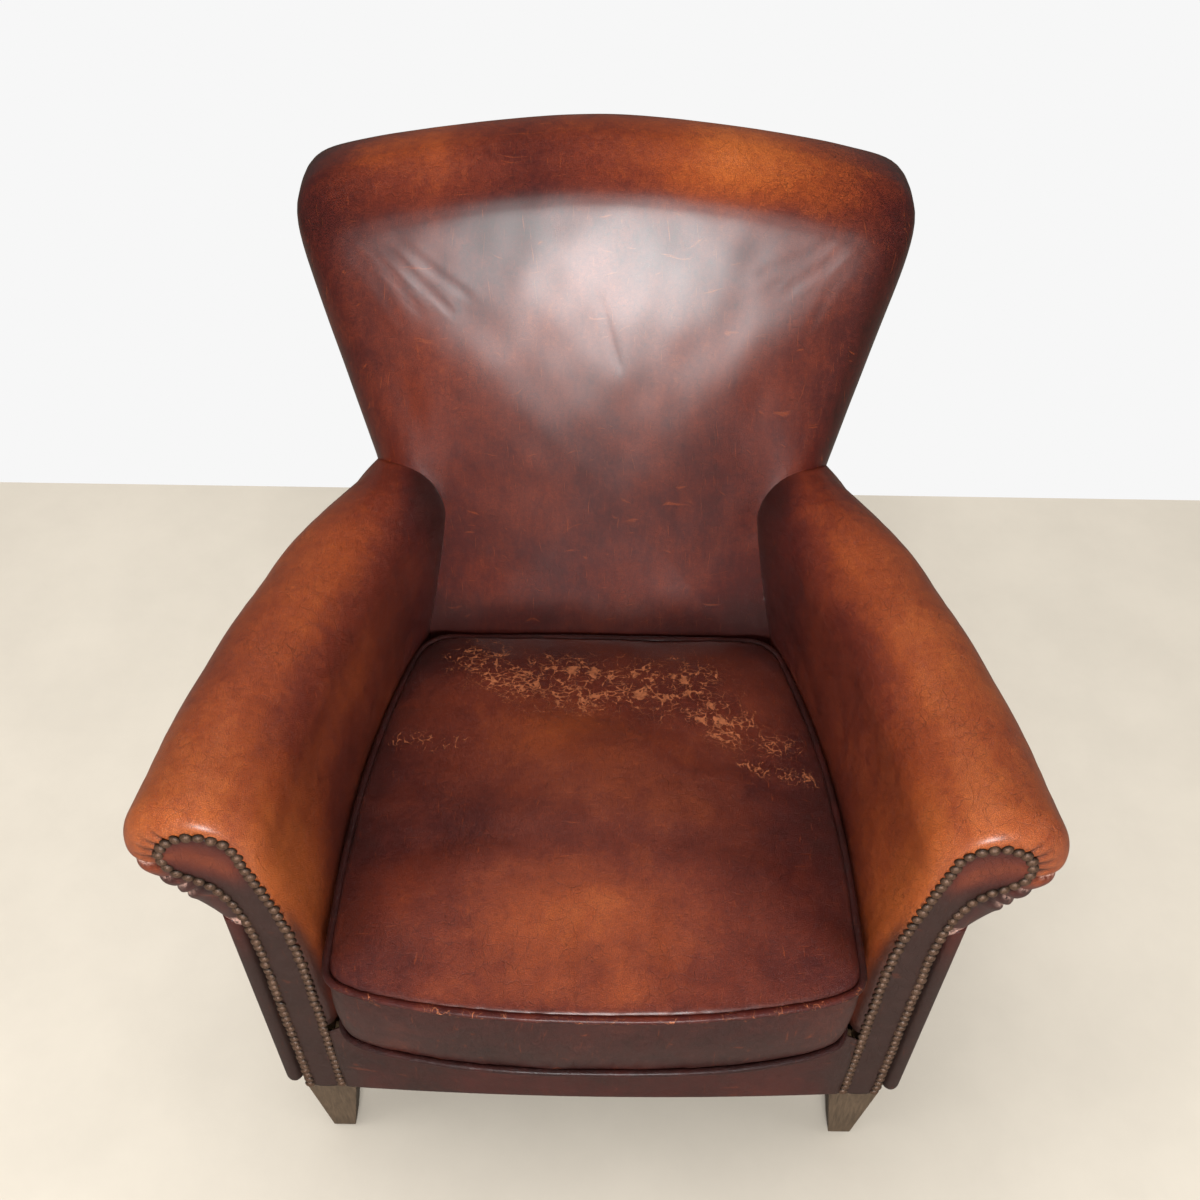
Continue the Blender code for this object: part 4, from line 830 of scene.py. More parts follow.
def arm_masks(grid, turns, below, outward, pale, soil, seed):
    """Where the arm is rubbed, dark, and bare, as the photo shows it."""
    shape = grid.shape[:2]
    y, z = grid[..., 1], grid[..., 2]
    depth = y - FACING_Y
    flat = grid.reshape(-1, 3)
    blotch = waves(flat, 0.16, seed).reshape(shape)
    on_top = smooth(outward, -0.062, -0.030) * smooth(z, 0.50, 0.58)
    outer = smooth(outward, -0.02, 0.03)
    inner = 1 - smooth(outward, -0.060, -0.035)
    wear = 0.27 * inner + 0.58 * on_top * (1 - 0.25 * outer) + 0.10 * outer
    wear += 0.46 * inner * bump_at(depth, 0.01, 0.095) * smooth(z, 0.30, 0.50)
    wear += 0.17 * bump_at(depth, 0.0, 0.07) * on_top
    wear -= 0.30 * smooth(depth, 0.30, 0.47) * (1 - 0.5 * outer)
    wear -= 0.22 * smooth(below, 0.004, 0.03) * (1 - smooth(turns, 1.0, 3.0))
    wear += 0.07 * blotch
    tuck = smooth(0.505 - z, 0.0, 0.03) * smooth(outward, 0.0, 0.03)
    wear -= 0.32 * tuck
    nose_face = (1 - smooth(turns, 0.55, 1.15)) * (1 - smooth(z, 0.44, 0.52))
    # Painted shade on the inner face next to the back, and low down beside the cushion.
    soil = soil + 0.55 * smooth(depth, 0.40, 0.47) * inner
    soil = soil + 0.75 * inner * smooth(0.43 - z, 0.0, 0.06) * smooth(depth, 0.05, 0.15)
    masks = {"wear": wear, "soil": soil, "pale": pale, "taupe": nose_face * 0.85}
    return {name: values.ravel() for name, values in masks.items()}


class CLUBCHAIR_OT_arms(bpy.types.Operator):
    """Build the leather of both arms, with the pleats under their scrolls"""
    bl_idname = "clubchair.arms"
    bl_label = "Arm leather"

    def execute(self, context):
        material = leather("worn_arm_leather", base=0.19, shine=0.40, gloss=0.60, sheen=0.45)
        grid, turns, below, outward, pale, soil = arm_grid()
        rows, columns = grid.shape[:2]
        faces = grid_faces(rows, columns)
        for side, name in SIDES:
            points = grid.reshape(-1, 3) * (side, 1, 1)
            piece = make_piece(f"{name}_arm_leather", points, faces, towards=(-side, -1, 0))
            paint(piece, **arm_masks(grid, turns, below, outward, pale, soil, seed=20 + side))
            thicken(piece, LEATHER)
            dress(piece, material, "worn_leather", f"{name}_arm_cover", f"{name}_arm_padding")
        return {"FINISHED"}


class CLUBCHAIR_OT_facings(bpy.types.Operator):
    """Build the padded leather facings between the nail rows"""
    bl_idname = "clubchair.facings"
    bl_label = "Facings"

    def execute(self, context):
        material = leather("facing_leather", base=0.18, spread=0.6, shine=0.42, grain=0.5, gloss=0.2)
        line = resample(nail_line(), 900)
        tip = int(np.argmax(line[:, 0]))
        steps, across = 150, 12
        inner = resample(line[:tip + 1], steps)
        outer = resample(line[tip:][::-1], steps)
        foot_eased = soften(outer, 3, closed=False)
        grid = []
        for k in range(across + 1):
            t = k / across
            flat = inner * (1 - t) + foot_eased * t
            rise = 0.0026 * math.sin(math.pi * t) ** 0.6
            rise = rise * np.minimum(1, np.linalg.norm(inner - outer, axis=1) / 0.02)
            grid.append(np.stack([flat[:, 0], FACING_Y + 0.0004 - rise, flat[:, 1]], axis=1))
        grid = np.array(grid)
        grid[..., 1] -= waves(grid.reshape(-1, 3), 0.05, 3).reshape(grid.shape[:2]) * 0.0004
        faces = grid_faces(*grid.shape[:2])
        points = grid.reshape(-1, 3)
        share = np.repeat(np.linspace(0, 1, across + 1), steps)
        up = smooth(points[:, 2], 0.520, 0.568)
        patch = bump_at(share, 0.42, 0.30) * up
        # Painted shade along both edges, in beside the nail rows.
        edge = np.maximum(1 - smooth(share, 0.0, 0.16), smooth(share, 0.84, 1.0))
        for side, name in SIDES:
            piece = make_piece(f"{name}_facing_leather", points * (side, 1, 1), faces, towards=(0, -1, 0))
            shape = bmesh.new()
            shape.from_mesh(piece.data)
            wear = shape.verts.layers.float.new("wear")
            soil = shape.verts.layers.float.new("soil")
            taupe = shape.verts.layers.float.new("taupe")
            for vertex, a, b, c in zip(shape.verts, patch, edge, up):
                vertex[wear] = 0.40 * a
                vertex[soil] = 0.75 * b
                vertex[taupe] = 0.95 - 0.60 * c
            bmesh.ops.remove_doubles(shape, verts=shape.verts, dist=0.00005)
            shape.to_mesh(piece.data)
            shape.free()
            piece.data.shade_smooth()
            thicken(piece, 0.0018)
            dress(piece, material, "dark_leather", f"{name}_arm_facing")
        return {"FINISHED"}


class CLUBCHAIR_OT_nails(bpy.types.Operator):
    """Set the domed nail heads, one by one, along both facings"""
    bl_idname = "clubchair.nails"
    bl_label = "Nails"

    def execute(self, context):
        size = sizes()
        line = resample(nail_line(), 4000)
        travelled = np.concatenate([[0], np.cumsum(np.linalg.norm(np.diff(line, axis=0), axis=1))])
        places = []
        at = size.row_pitch / 2
        while at < travelled[-1] - size.row_pitch / 3:
            x = np.interp(at, travelled, line[:, 0])
            z = np.interp(at, travelled, line[:, 1])
            places.append((x, z))
            round_scroll = float(smooth(z, 0.50, 0.56))
            at += size.row_pitch + (size.scroll_pitch - size.row_pitch) * round_scroll
        profile = ((0.0, 1.0), (0.30, 0.955), (0.58, 0.81), (0.80, 0.57), (0.94, 0.28), (1.0, 0.06),
                   (0.97, -0.10))
        sides = 16
        material = nail_metal()
        for side, name in SIDES:
            generator = np.random.default_rng(71 + side)
            points, faces, soil = [], [], []
            for x, z in places:
                radius = size.nail_head / 2 * generator.uniform(0.95, 1.04)
                tilt = Matrix.Rotation(generator.normal(0, 0.10), 3, "X") @ Matrix.Rotation(
                    generator.normal(0, 0.10), 3, "Z")
                centre = Vector((side * (x + generator.normal(0, 0.0004)), FACING_Y - 0.0003,
                                 z + generator.normal(0, 0.0004)))
                first = len(points)
                points.append(centre + tilt @ Vector((0, -size.nail_rise, 0)))
                soil.append(0.0)
                for share, height in profile[1:]:
                    for k in range(sides):
                        a = 2 * math.pi * k / sides
                        local = Vector((radius * share * math.cos(a), -size.nail_rise * height,
                                        radius * share * math.sin(a)))
                        points.append(centre + tilt @ local)
                        # The rim of each head is painted dark: tarnish, and painted shade where the heads
                        # meet.
                        soil.append(float(smooth(share, 0.72, 0.98)))
                rings = len(profile) - 1
                for k in range(sides):
                    faces.append((first, first + 1 + k, first + 1 + (k + 1) % sides))
                    for ring in range(rings - 1):
                        a, b = first + 1 + ring * sides, first + 1 + (ring + 1) * sides
                        faces.append((a + k, b + k, b + (k + 1) % sides, a + (k + 1) % sides))
                faces.append(tuple(first + 1 + (rings - 1) * sides + k for k in range(sides)))
            piece = make_piece(f"{name}_nail_heads", points, faces)
            paint(piece, soil=np.array(soil))
            dress(piece, material, "antique_nails", f"{name}_nail_trim")
        return {"FINISHED"}


class CLUBCHAIR_OT_outside_arms(bpy.types.Operator):
    """Build the outside-arm panels with their rounded front edges"""
    bl_idname = "clubchair.outside_arms"
    bl_label = "Outside arms"

    def execute(self, context):
        material = leather("outside_arm_leather", base=0.16, spread=0.8, shine=0.42, grain=0.7, gloss=0.25)
        foot, top = PANEL_FOOT, TUCK_HEIGHT + 0.006
        straight = foot + PANEL_FOOT_ROUND
        heights = np.concatenate([foot + PANEL_FOOT_ROUND * (1 - np.cos(np.linspace(0, math.pi / 2, 9))),
                                  np.linspace(straight, top, 46)[1:]])
        rows = []
        for z in heights:
            ease = 1.0
            if z < straight:
                ease = math.sqrt(max(1 - ((straight - z) / PANEL_FOOT_ROUND) ** 2, 0))
            half = PANEL_HALF * (0.45 + 0.55 * ease)
            middle = FACING_OUT + PANEL_STAND + PANEL_HALF
            front = FACING_Y + 0.0008 + 0.010 * (1 - ease)
            section = []
            for a in np.linspace(math.radians(200), math.radians(0), 20):
                behind = PANEL_NOSE * (1 - max(math.sin(a), -0.3))
                section.append((middle + half * math.cos(a), front + behind))
            start_y = front + PANEL_NOSE
            rear = back_plane(max(z, KINK_HEIGHT)) + BACK_DEPTH
            edge = middle + half
            for t in np.linspace(0, 1, 46)[1:]:
                y = start_y + (rear - start_y) * t
                up = min((z - foot) / (top - foot), 1)
                swell = 0.0030 * math.sin(math.pi * t) * math.sin(math.pi * up)
                x = outside_x(y) + swell
                ease_in = min((y - start_y) / 0.05, 1.0)
                section.append((edge + (x - edge) * (ease_in if ease < 1 else 1.0), y))
            rows.append([(x, y, z) for x, y in section])
        grid = np.array(rows)
        flat = grid.reshape(-1, 3)
        flat[:, 0] += waves(flat, 0.09, 12) * 0.0007 * smooth(flat[:, 1], FACING_Y + 0.02, FACING_Y + 0.06)
        faces = grid_faces(*grid.shape[:2])
        near_front = 1 - smooth(flat[:, 1], FACING_Y + 0.03, FACING_Y + 0.12)
        for side, name in SIDES:
            piece = make_piece(f"{name}_outside_leather", flat * (side, 1, 1), faces,
                               towards=(-side, -1, 0))
            # Painted shade on the panel's inner edge at the front, in the valley beside the outer nail row.
            inner_edge = 1 - smooth(flat[:, 0], FACING_OUT + PANEL_STAND, FACING_OUT + PANEL_STAND + 0.005)
            paint(piece, wear=0.06 + 0.10 * waves(flat, 0.2, 30 + side),
                  taupe=0.75 * near_front * smooth(0.50 - flat[:, 2], 0.02, 0.12) + 0.25,
                  soil=0.9 * inner_edge * (flat[:, 1] < FACING_Y + 0.02))
            thicken(piece, PANEL)
            dress(piece, material, "dark_leather", f"{name}_outside_arm_cover")
        return {"FINISHED"}


# The back

def back_outline(count):
    """The back's outline in (x, z), evenly spaced, starting at the middle of the foot."""
    foot = CUSHION_FOOT
    shoulder = BACK_HEIGHT - BACK_SHOULDER
    wide = BACK_TOP_WIDTH / 2

    def crest_z(x):
        t = min(abs(x) / wide, 1.0)
        return BACK_HEIGHT - CREST_DROP * (t ** 1.6 + 0.23 * t ** 8)

    half = [(0.0, foot), (BACK_FOOT_WIDTH / 2, foot), (BACK_FOOT_WIDTH / 2, 0.45)]
    for t in (0.0, 0.22, 0.45, 0.68, 0.87):
        z = BACK_FLARE_HEIGHT + (shoulder - BACK_FLARE_HEIGHT) * t
        half.append((float(back_half_width(z)), z))
    crest = wide * 0.88
    half += list(cubic((wide, shoulder), (wide, shoulder + 0.024), (crest + 0.027, crest_z(crest) - 0.006),
                       (crest, crest_z(crest)), 12))
    half += [(wide * t, crest_z(wide * t)) for t in (0.74, 0.58, 0.40, 0.20, 0.10)]
    half.append((0.0, BACK_HEIGHT))
    half = np.array([tuple(p) for p in half])
    other = half[1:-1][::-1] * (-1, 1)
    dense = resample(np.vstack([half, other]), 1600, closed=True)
    dense = soften(dense, 160)
    return resample(dense, count, closed=True)


# Fine folds that run in from the back's upper corners, in (x, z)
CORNER_FOLDS = (
    ((-0.262, 0.857), (-0.225, 0.818), (-0.190, 0.770)),
    ((-0.245, 0.853), (-0.205, 0.815), (-0.160, 0.775)),
    ((-0.265, 0.838), (-0.235, 0.800), (-0.212, 0.760)),
    ((-0.215, 0.842), (-0.175, 0.812), (-0.140, 0.790)),
    ((0.268, 0.860), (0.232, 0.826), (0.190, 0.800)),
    ((0.250, 0.862), (0.215, 0.836), (0.160, 0.815)),
    ((0.262, 0.838), (0.232, 0.798), (0.215, 0.762)),
)
# Single folds of the back in (x, z), each with its depth and width
BACK_FOLDS = (
    (((-0.004, 0.790), (0.006, 0.755), (0.017, 0.722)), 0.0003, 0.003),
    (((-0.215, 0.700), (-0.195, 0.640), (-0.185, 0.560)), 0.0007, 0.014),
    (((0.165, 0.690), (0.172, 0.620), (0.176, 0.540)), 0.0007, 0.014),
)


class CLUBCHAIR_OT_back(bpy.types.Operator):
    """Build the padded back and the panel behind it"""
    bl_idname = "clubchair.back"
    bl_label = "Back"

    def execute(self, context):
        count = 300
        outline = back_outline(count)
        centre = np.array((0.0, BACK_MIDDLE))
        rounding = np.sin(np.linspace(0, math.pi / 2, 22)[1:])
        shares = np.concatenate([np.linspace(0.02, BACK_FACE_SHARE, 46),
                                 BACK_FACE_SHARE + (1 - BACK_FACE_SHARE) * rounding])
        rows = []
        for share in shares:
            rows.append(on_back(centre + (outline - centre) * share, float(back_depth(share))))
        for depth in np.linspace(BACK_EDGE, BACK_DEPTH - BACK_REAR_ROUND, 12)[1:]:
            bulge = 1 + 0.004 * math.sin(math.pi * (depth - BACK_EDGE) / (BACK_DEPTH - BACK_EDGE))
            rows.append(on_back(centre + (outline - centre) * bulge, depth))
        for turn in np.linspace(0, math.pi / 2, 6)[1:]:
            share = 1 - BACK_REAR_ROUND * (1 - math.cos(turn))
            depth = BACK_DEPTH - BACK_REAR_ROUND * (1 - math.sin(turn))
            rows.append(on_back(centre + (outline - centre) * share, depth))
        grid = np.array(rows)
        flat = grid.reshape(-1, 3)
        share_of = np.repeat(np.concatenate([shares, np.ones(len(rows) - len(shares))]), count)
        faces = [tuple(range(count))] + grid_faces(len(rows), count, wrap=True)
        material = leather("worn_back_leather", base=0.17, shine=0.42, gloss=1.0, sheen=0.05,
                           streaks=(16.0, 16.0, 2.6))
        piece = make_piece("back_leather", flat, faces, towards=(0, -1, 0))

        points = coordinates(piece)
        normals = vertex_normals(piece)
        plan = points[:, [0, 2]]
        front = 1 - smooth(points[:, 1] - back_plane(points[:, 2]), 0.03, 0.06)
        lift = waves(points, 0.16, 41) * 0.0005 + waves(points, 0.05, 42) * 0.00014
        for fold in CORNER_FOLDS:
            lift += front * crease(distance_to(plan, fold), 0.0002, 0.0025, 0.0001, 0.007, 0.005)
        for fold, depth, width in BACK_FOLDS:
            lift -= front * depth * bump_at(distance_to(plan, fold), 0.0, width)
        lift *= smooth(1.02 - share_of, 0.0, 0.05) * 0.85 + 0.15
        move_points(piece, points + normals * lift[:, None])

        x, z = points[:, 0], points[:, 2]
        edge = smooth(np.abs(x) / back_half_width(z), 0.80, 1.0)
        wear = 0.17 + 0.09 * waves(points, 0.22, 43)
        wear += 0.24 * smooth(z, 0.845, 0.905) * (1 - 0.7 * smooth(np.abs(x), 0.24, 0.29))
        wear += 0.30 * bump_at(z, 0.902, 0.034) * bump_at(x, 0.135, 0.085)
        wear += 0.22 * bump_at(distance_to(plan, ((-0.262, 0.905), (-0.17, 0.912))), 0.0, 0.012)
        wear += 0.10 * bump_at(x, -0.21, 0.035) * bump_at(z, 0.72, 0.06)
        wear -= 0.14 * edge * (1 - smooth(z, 0.86, 0.92))
        wear -= 0.10 * smooth(0.62 - z, 0.0, 0.18)
        # Painted shade low on the back just above the cushion, and on its sides as they turn rearward.
        soil = 0.55 * smooth(0.475 - z, 0.0, 0.05)
        soil += 0.30 * edge * smooth(points[:, 1] - back_plane(z), 0.04, 0.10)
        corners = bump_at(np.abs(x), 0.285, 0.045) * bump_at(z, 0.875, 0.050)
        pebble = corners + 0.7 * bump_at(x, 0.235, 0.06) * bump_at(z, 0.880, 0.035)
        pebble += 0.25 * smooth(z, 0.80, 0.88) + 0.3 * edge
        paint(piece, wear=wear, soil=soil, pebble=pebble)
        thicken(piece, LEATHER)
        dress(piece, material, "worn_leather", "back_cover", "back_foam")
        self.outside_back()
        return {"FINISHED"}

    def outside_back(self):
        """The flat panel that closes the rear, slightly slack between its edges."""
        foot = PANEL_FOOT
        depth = BACK_DEPTH + BACK_PANEL_GAP
        columns = 49
        rows = []
        crest_top = BACK_HEIGHT - CREST_FALL - 0.005
        heights = np.concatenate([np.linspace(foot, KINK_HEIGHT - 0.01, 14),
                                  np.linspace(KINK_HEIGHT, crest_top, 60)])
        for z in heights:
            plane = back_plane(max(z, KINK_HEIGHT))
            wide_low = float(outside_x(plane + depth)) - 0.0005
            if z <= TUCK_HEIGHT:
                half = wide_low
            else:
                back_half = float(back_half_width(z)) * BACK_PANEL_SHARE
                half = wide_low + (back_half - wide_low) * float(smooth(z, TUCK_HEIGHT, TUCK_HEIGHT + 0.05))
            row = []
            for t in np.linspace(-1, 1, columns):
                slack = 0.0016 * (1 - t * t) * math.sin(math.pi * (z - foot) / (crest_top - foot))
                row.append((half * t, plane + depth + slack, z))
            rows.append(row)
        grid = np.array(rows)
        crest = crest_top - CREST_DROP * np.abs(np.linspace(-0.95, 0.95, columns)) ** 1.6
        shoulder = BACK_HEIGHT - BACK_SHOULDER - 0.01
        for k in range(grid.shape[0]):
            z0 = grid[k, 0, 2]
            if z0 > shoulder:
                share = (z0 - shoulder) / (crest_top - shoulder)
                top = shoulder + (crest - shoulder) * share
                corner = 1 - 0.05 * share - 0.09 * share ** 4
                grid[k, :, 0] = np.linspace(-1, 1, columns) * BACK_TOP_WIDTH / 2 * BACK_PANEL_SHARE * corner
                grid[k, :, 2] = top
                grid[k, :, 1] = back_plane(top) + depth
        flat = grid.reshape(-1, 3)
        faces = grid_faces(*grid.shape[:2])
        material = leather("outside_back_leather", base=0.16, spread=0.9, shine=0.42, grain=0.8,
                           gloss=0.25)
        piece = make_piece("outside_back_leather", flat, faces, towards=(0, 1, 0))
        paint(piece, wear=0.04 + 0.08 * waves(flat, 0.25, 51), taupe=0.22 + 0.1 * waves(flat, 0.3, 52))
        thicken(piece, PANEL)
        dress(piece, material, "dark_leather", "outside_back_cover")


# The seat cushion

def cushion_outline(count):
    """The cushion's top seam in plan, evenly spaced, from the middle of the front."""
    front = FACING_Y - CUSHION_BOW
    rear = BACK_Y - CUSHION_REAR_GAP
    half_front = CUSHION_FRONT_WIDTH / 2
    edge = front + CUSHION_FRONT_CURVE
    corner = CUSHION_CORNER
    half = [(half_front * t, front + CUSHION_FRONT_CURVE * t ** 2.5) for t in np.linspace(0, 0.86, 12)]
    half += list(cubic((half_front - corner, edge - 0.0035), (half_front - 0.006, edge),
                       (half_front, edge + 0.006), (half_front, edge + corner), 6))
    last = rear - 0.038
    for y in np.linspace(edge + corner, last, 14)[1:]:
        half.append((min(half_front, float(inner_face_x(y)) - CUSHION_SIDE_GAP), y))
    x = half[-1][0]
    half += list(cubic((x, last), (x - 0.003, last + 0.023), (x - 0.019, rear), (x - 0.042, rear), 8))
    half.append((0.0, rear))
    half = np.array([tuple(p) for p in half])
    other = half[1:-1][::-1] * (-1, 1)
    dense = resample(np.vstack([half, other]), 1200, closed=True)
    return resample(soften(dense, 40), count, closed=True)


def cushion_ring(outline, share, z):
    """The plan outline grown or shrunk about its middle, its rear following the leaning back."""
    front, rear = FACING_Y - CUSHION_BOW, BACK_Y - CUSHION_REAR_GAP
    middle = (front + rear) / 2
    behind = np.clip((outline[:, 1] - middle) / (rear - middle), 0, 2)
    lean = min(z - CUSHION_EDGE, 0.0) * SLOPE
    return np.stack([outline[:, 0] * share, middle + (outline[:, 1] - middle) * share + lean * behind ** 4,
                     np.full(len(outline), z)], axis=1)


# Flaked spots of the cushion's top: x, y and size
FLAKES = ((-0.030, 0.018, 0.010), (-0.005, 0.014, 0.013), (0.012, 0.004, 0.008), (0.046, -0.021, 0.013),
          (0.040, 0.012, 0.007), (0.096, 0.002, 0.009), (0.100, -0.018, 0.008), (0.132, -0.055, 0.012),
          (-0.018, -0.028, 0.007), (0.070, -0.032, 0.006), (0.125, -0.036, 0.007), (0.150, -0.048, 0.006))
# Runs of cracks in (x, y), each with its width and strength
CRACK_RUNS = (
    (((-0.140, 0.040), (-0.095, 0.012), (-0.045, 0.012), (0.000, 0.010), (0.050, 0.004), (0.100, 0.010)),
     0.030, 0.75),
    (((-0.110, 0.005), (-0.060, -0.016), (-0.010, -0.022), (0.050, -0.022), (0.110, -0.040),
      (0.145, -0.058)), 0.026, 0.85),
    (((-0.215, -0.076), (-0.180, -0.083), (-0.145, -0.090)), 0.008, 0.75),
    (((0.126, -0.073), (0.165, -0.080), (0.205, -0.080)), 0.012, 0.75),
    (((0.150, -0.110), (0.190, -0.118), (0.223, -0.120)), 0.008, 0.70),
)


def cushion_masks(points, crown):
    """Where the cushion is rubbed, cracked and dark, as the photo shows it."""
    x, y, z = points.T
    top = smooth(z, CUSHION_EDGE - 0.004, CUSHION_EDGE + 0.006)
    across = np.abs(x) / 0.25
    wear = 0.20 + 0.08 * waves(points, 0.13, 61) - 0.14 * smooth(across, 0.55, 0.95) * top
    wear += 0.40 * bump_at(y, -0.292, 0.062) * np.exp(-(np.abs(x) / 0.14) ** 2) * top
    wear += 0.20 * bump_at(y, -0.130, 0.075) * np.exp(-(np.abs(x - 0.03) / 0.12) ** 2) * top
    wear += 0.10 * bump_at(y, -0.060, 0.050) * np.exp(-(np.abs(x) / 0.14) ** 4) * top
    wear -= 0.05 * bump_at(y, -0.212, 0.022) * top
    wear -= 0.16 * (1 - top)
    wear += 0.10 * np.exp(-((y + 0.365) / 0.015) ** 2) * top * np.exp(-(np.abs(x) / 0.2) ** 4)
    # Darker towards the rear and at the front corners: painted shade where the cushion meets the back and the
    # arms.
    soil = 0.30 * smooth(y, -0.02, 0.06) + 0.28 * smooth(across, 0.80, 0.98) * smooth(y, -0.36, -0.30)
    crack = np.zeros(len(points))
    for line, width, strength in CRACK_RUNS:
        crack = np.maximum(crack, strength * np.exp(-(distance_to(points, line) / width) ** 2))
    flake = np.zeros(len(points))
    for fx, fy, radius in FLAKES:
        away = (1.3 * (x - fx)) ** 2 + (y - fy) ** 2
        flake = np.maximum(flake, 0.86 * np.exp(-away / (1.25 * radius) ** 2))
    taupe = 0.40 - 0.32 * top + 0.14 * top * smooth(y, -0.27, -0.18)
    return {"wear": wear, "soil": soil, "crack": crack * top, "flake": flake * top,
            "pebble": 0.12 + 0.2 * (1 - top), "taupe": taupe}


# Folds that run back from the cushion's front seam, in (x, y)
CUSHION_FOLDS = (
    ((-0.052, -0.385), (-0.045, -0.340), (-0.036, -0.290)),
    ((-0.012, -0.385), (-0.014, -0.335), (-0.010, -0.300)),
    ((0.030, -0.385), (0.034, -0.340), (0.045, -0.285)),
    ((0.078, -0.380), (0.070, -0.335), (0.062, -0.300)),
    ((-0.120, -0.380), (-0.112, -0.345), (-0.100, -0.320)),
    ((0.140, -0.375), (0.130, -0.340), (0.120, -0.315)),
)


def cushion_details(points, normals):
    """Dents and folds of a cushion that has been sat on for years."""
    x, y, z = points.T
    top = smooth(normals[:, 2], 0.4, 0.8)
    lift = -0.0022 * bump_at(y, -0.214, 0.020) * np.exp(-(np.abs(x) / 0.20) ** 4) * top
    lift += 0.0020 * bump_at(y, -0.285, 0.040) * np.exp(-(np.abs(x) / 0.20) ** 4) * top
    lift -= 0.0030 * bump_at(y, -0.060, 0.050) * np.exp(-(np.abs(x) / 0.16) ** 2) * top
    for fold in CUSHION_FOLDS:
        lift += top * crease(distance_to(points, fold), 0.0006, 0.004, 0.0003, 0.010, 0.006)
    lift += waves(points, 0.09, 62) * 0.0007 + waves(points, 0.03, 63) * 0.0002
    return lift


def puff(piece, seams, pressure=4.0, cap=0.014):
    """Swell the case by cloth simulation with its seams held, and keep the result."""
    points = coordinates(piece)
    held = np.minimum.reduce([distance_to(points, np.vstack([seam, seam[:1]])) for seam in seams])
    group = piece.vertex_groups.new(name="seams")
    fixed = (held < SEAM_REACH) | (points[:, 2] < CUSHION_FOOT + 0.006)
    for i in np.nonzero(fixed)[0]:
        group.add([int(i)], 1.0, "REPLACE")
    loose = set(np.nonzero((held >= SEAM_REACH) & (points[:, 2] > CUSHION_EDGE))[0].tolist())
    cloth = piece.modifiers.new("cloth", "CLOTH")
    settings = cloth.settings
    settings.quality = 6
    settings.mass = 0.4
    settings.tension_stiffness = 14
    settings.compression_stiffness = 14
    settings.shear_stiffness = 6
    settings.bending_stiffness = 1.2
    settings.use_pressure = True
    settings.uniform_pressure_force = pressure
    settings.shrink_min = -0.004
    settings.vertex_group_mass = "seams"
    settings.effector_weights.gravity = 0.0
    cloth.collision_settings.use_collision = False
    cloth.point_cache.frame_start = 1
    cloth.point_cache.frame_end = SWELL_FRAMES
    scene = bpy.context.scene
    for number in range(1, SWELL_FRAMES + 1):
        scene.frame_set(number)
    graph = bpy.context.evaluated_depsgraph_get()
    moved = np.empty(len(points) * 3)
    piece.evaluated_get(graph).data.vertices.foreach_get("co", moved)
    piece.modifiers.remove(cloth)
    scene.frame_set(1)
    change = moved.reshape(-1, 3) - points
    length = np.linalg.norm(change, axis=1, keepdims=True)
    change *= np.minimum(1.0, cap / np.maximum(length, 1e-9))
    move_points(piece, points + change)
    shape = bmesh.new()
    shape.from_mesh(piece.data)
    free = [v for v in shape.verts if v.index in loose]
    for _ in range(12):
        bmesh.ops.smooth_vert(shape, verts=free, factor=0.5, use_axis_x=True, use_axis_y=True,
                              use_axis_z=True)
    shape.to_mesh(piece.data)
    shape.free()


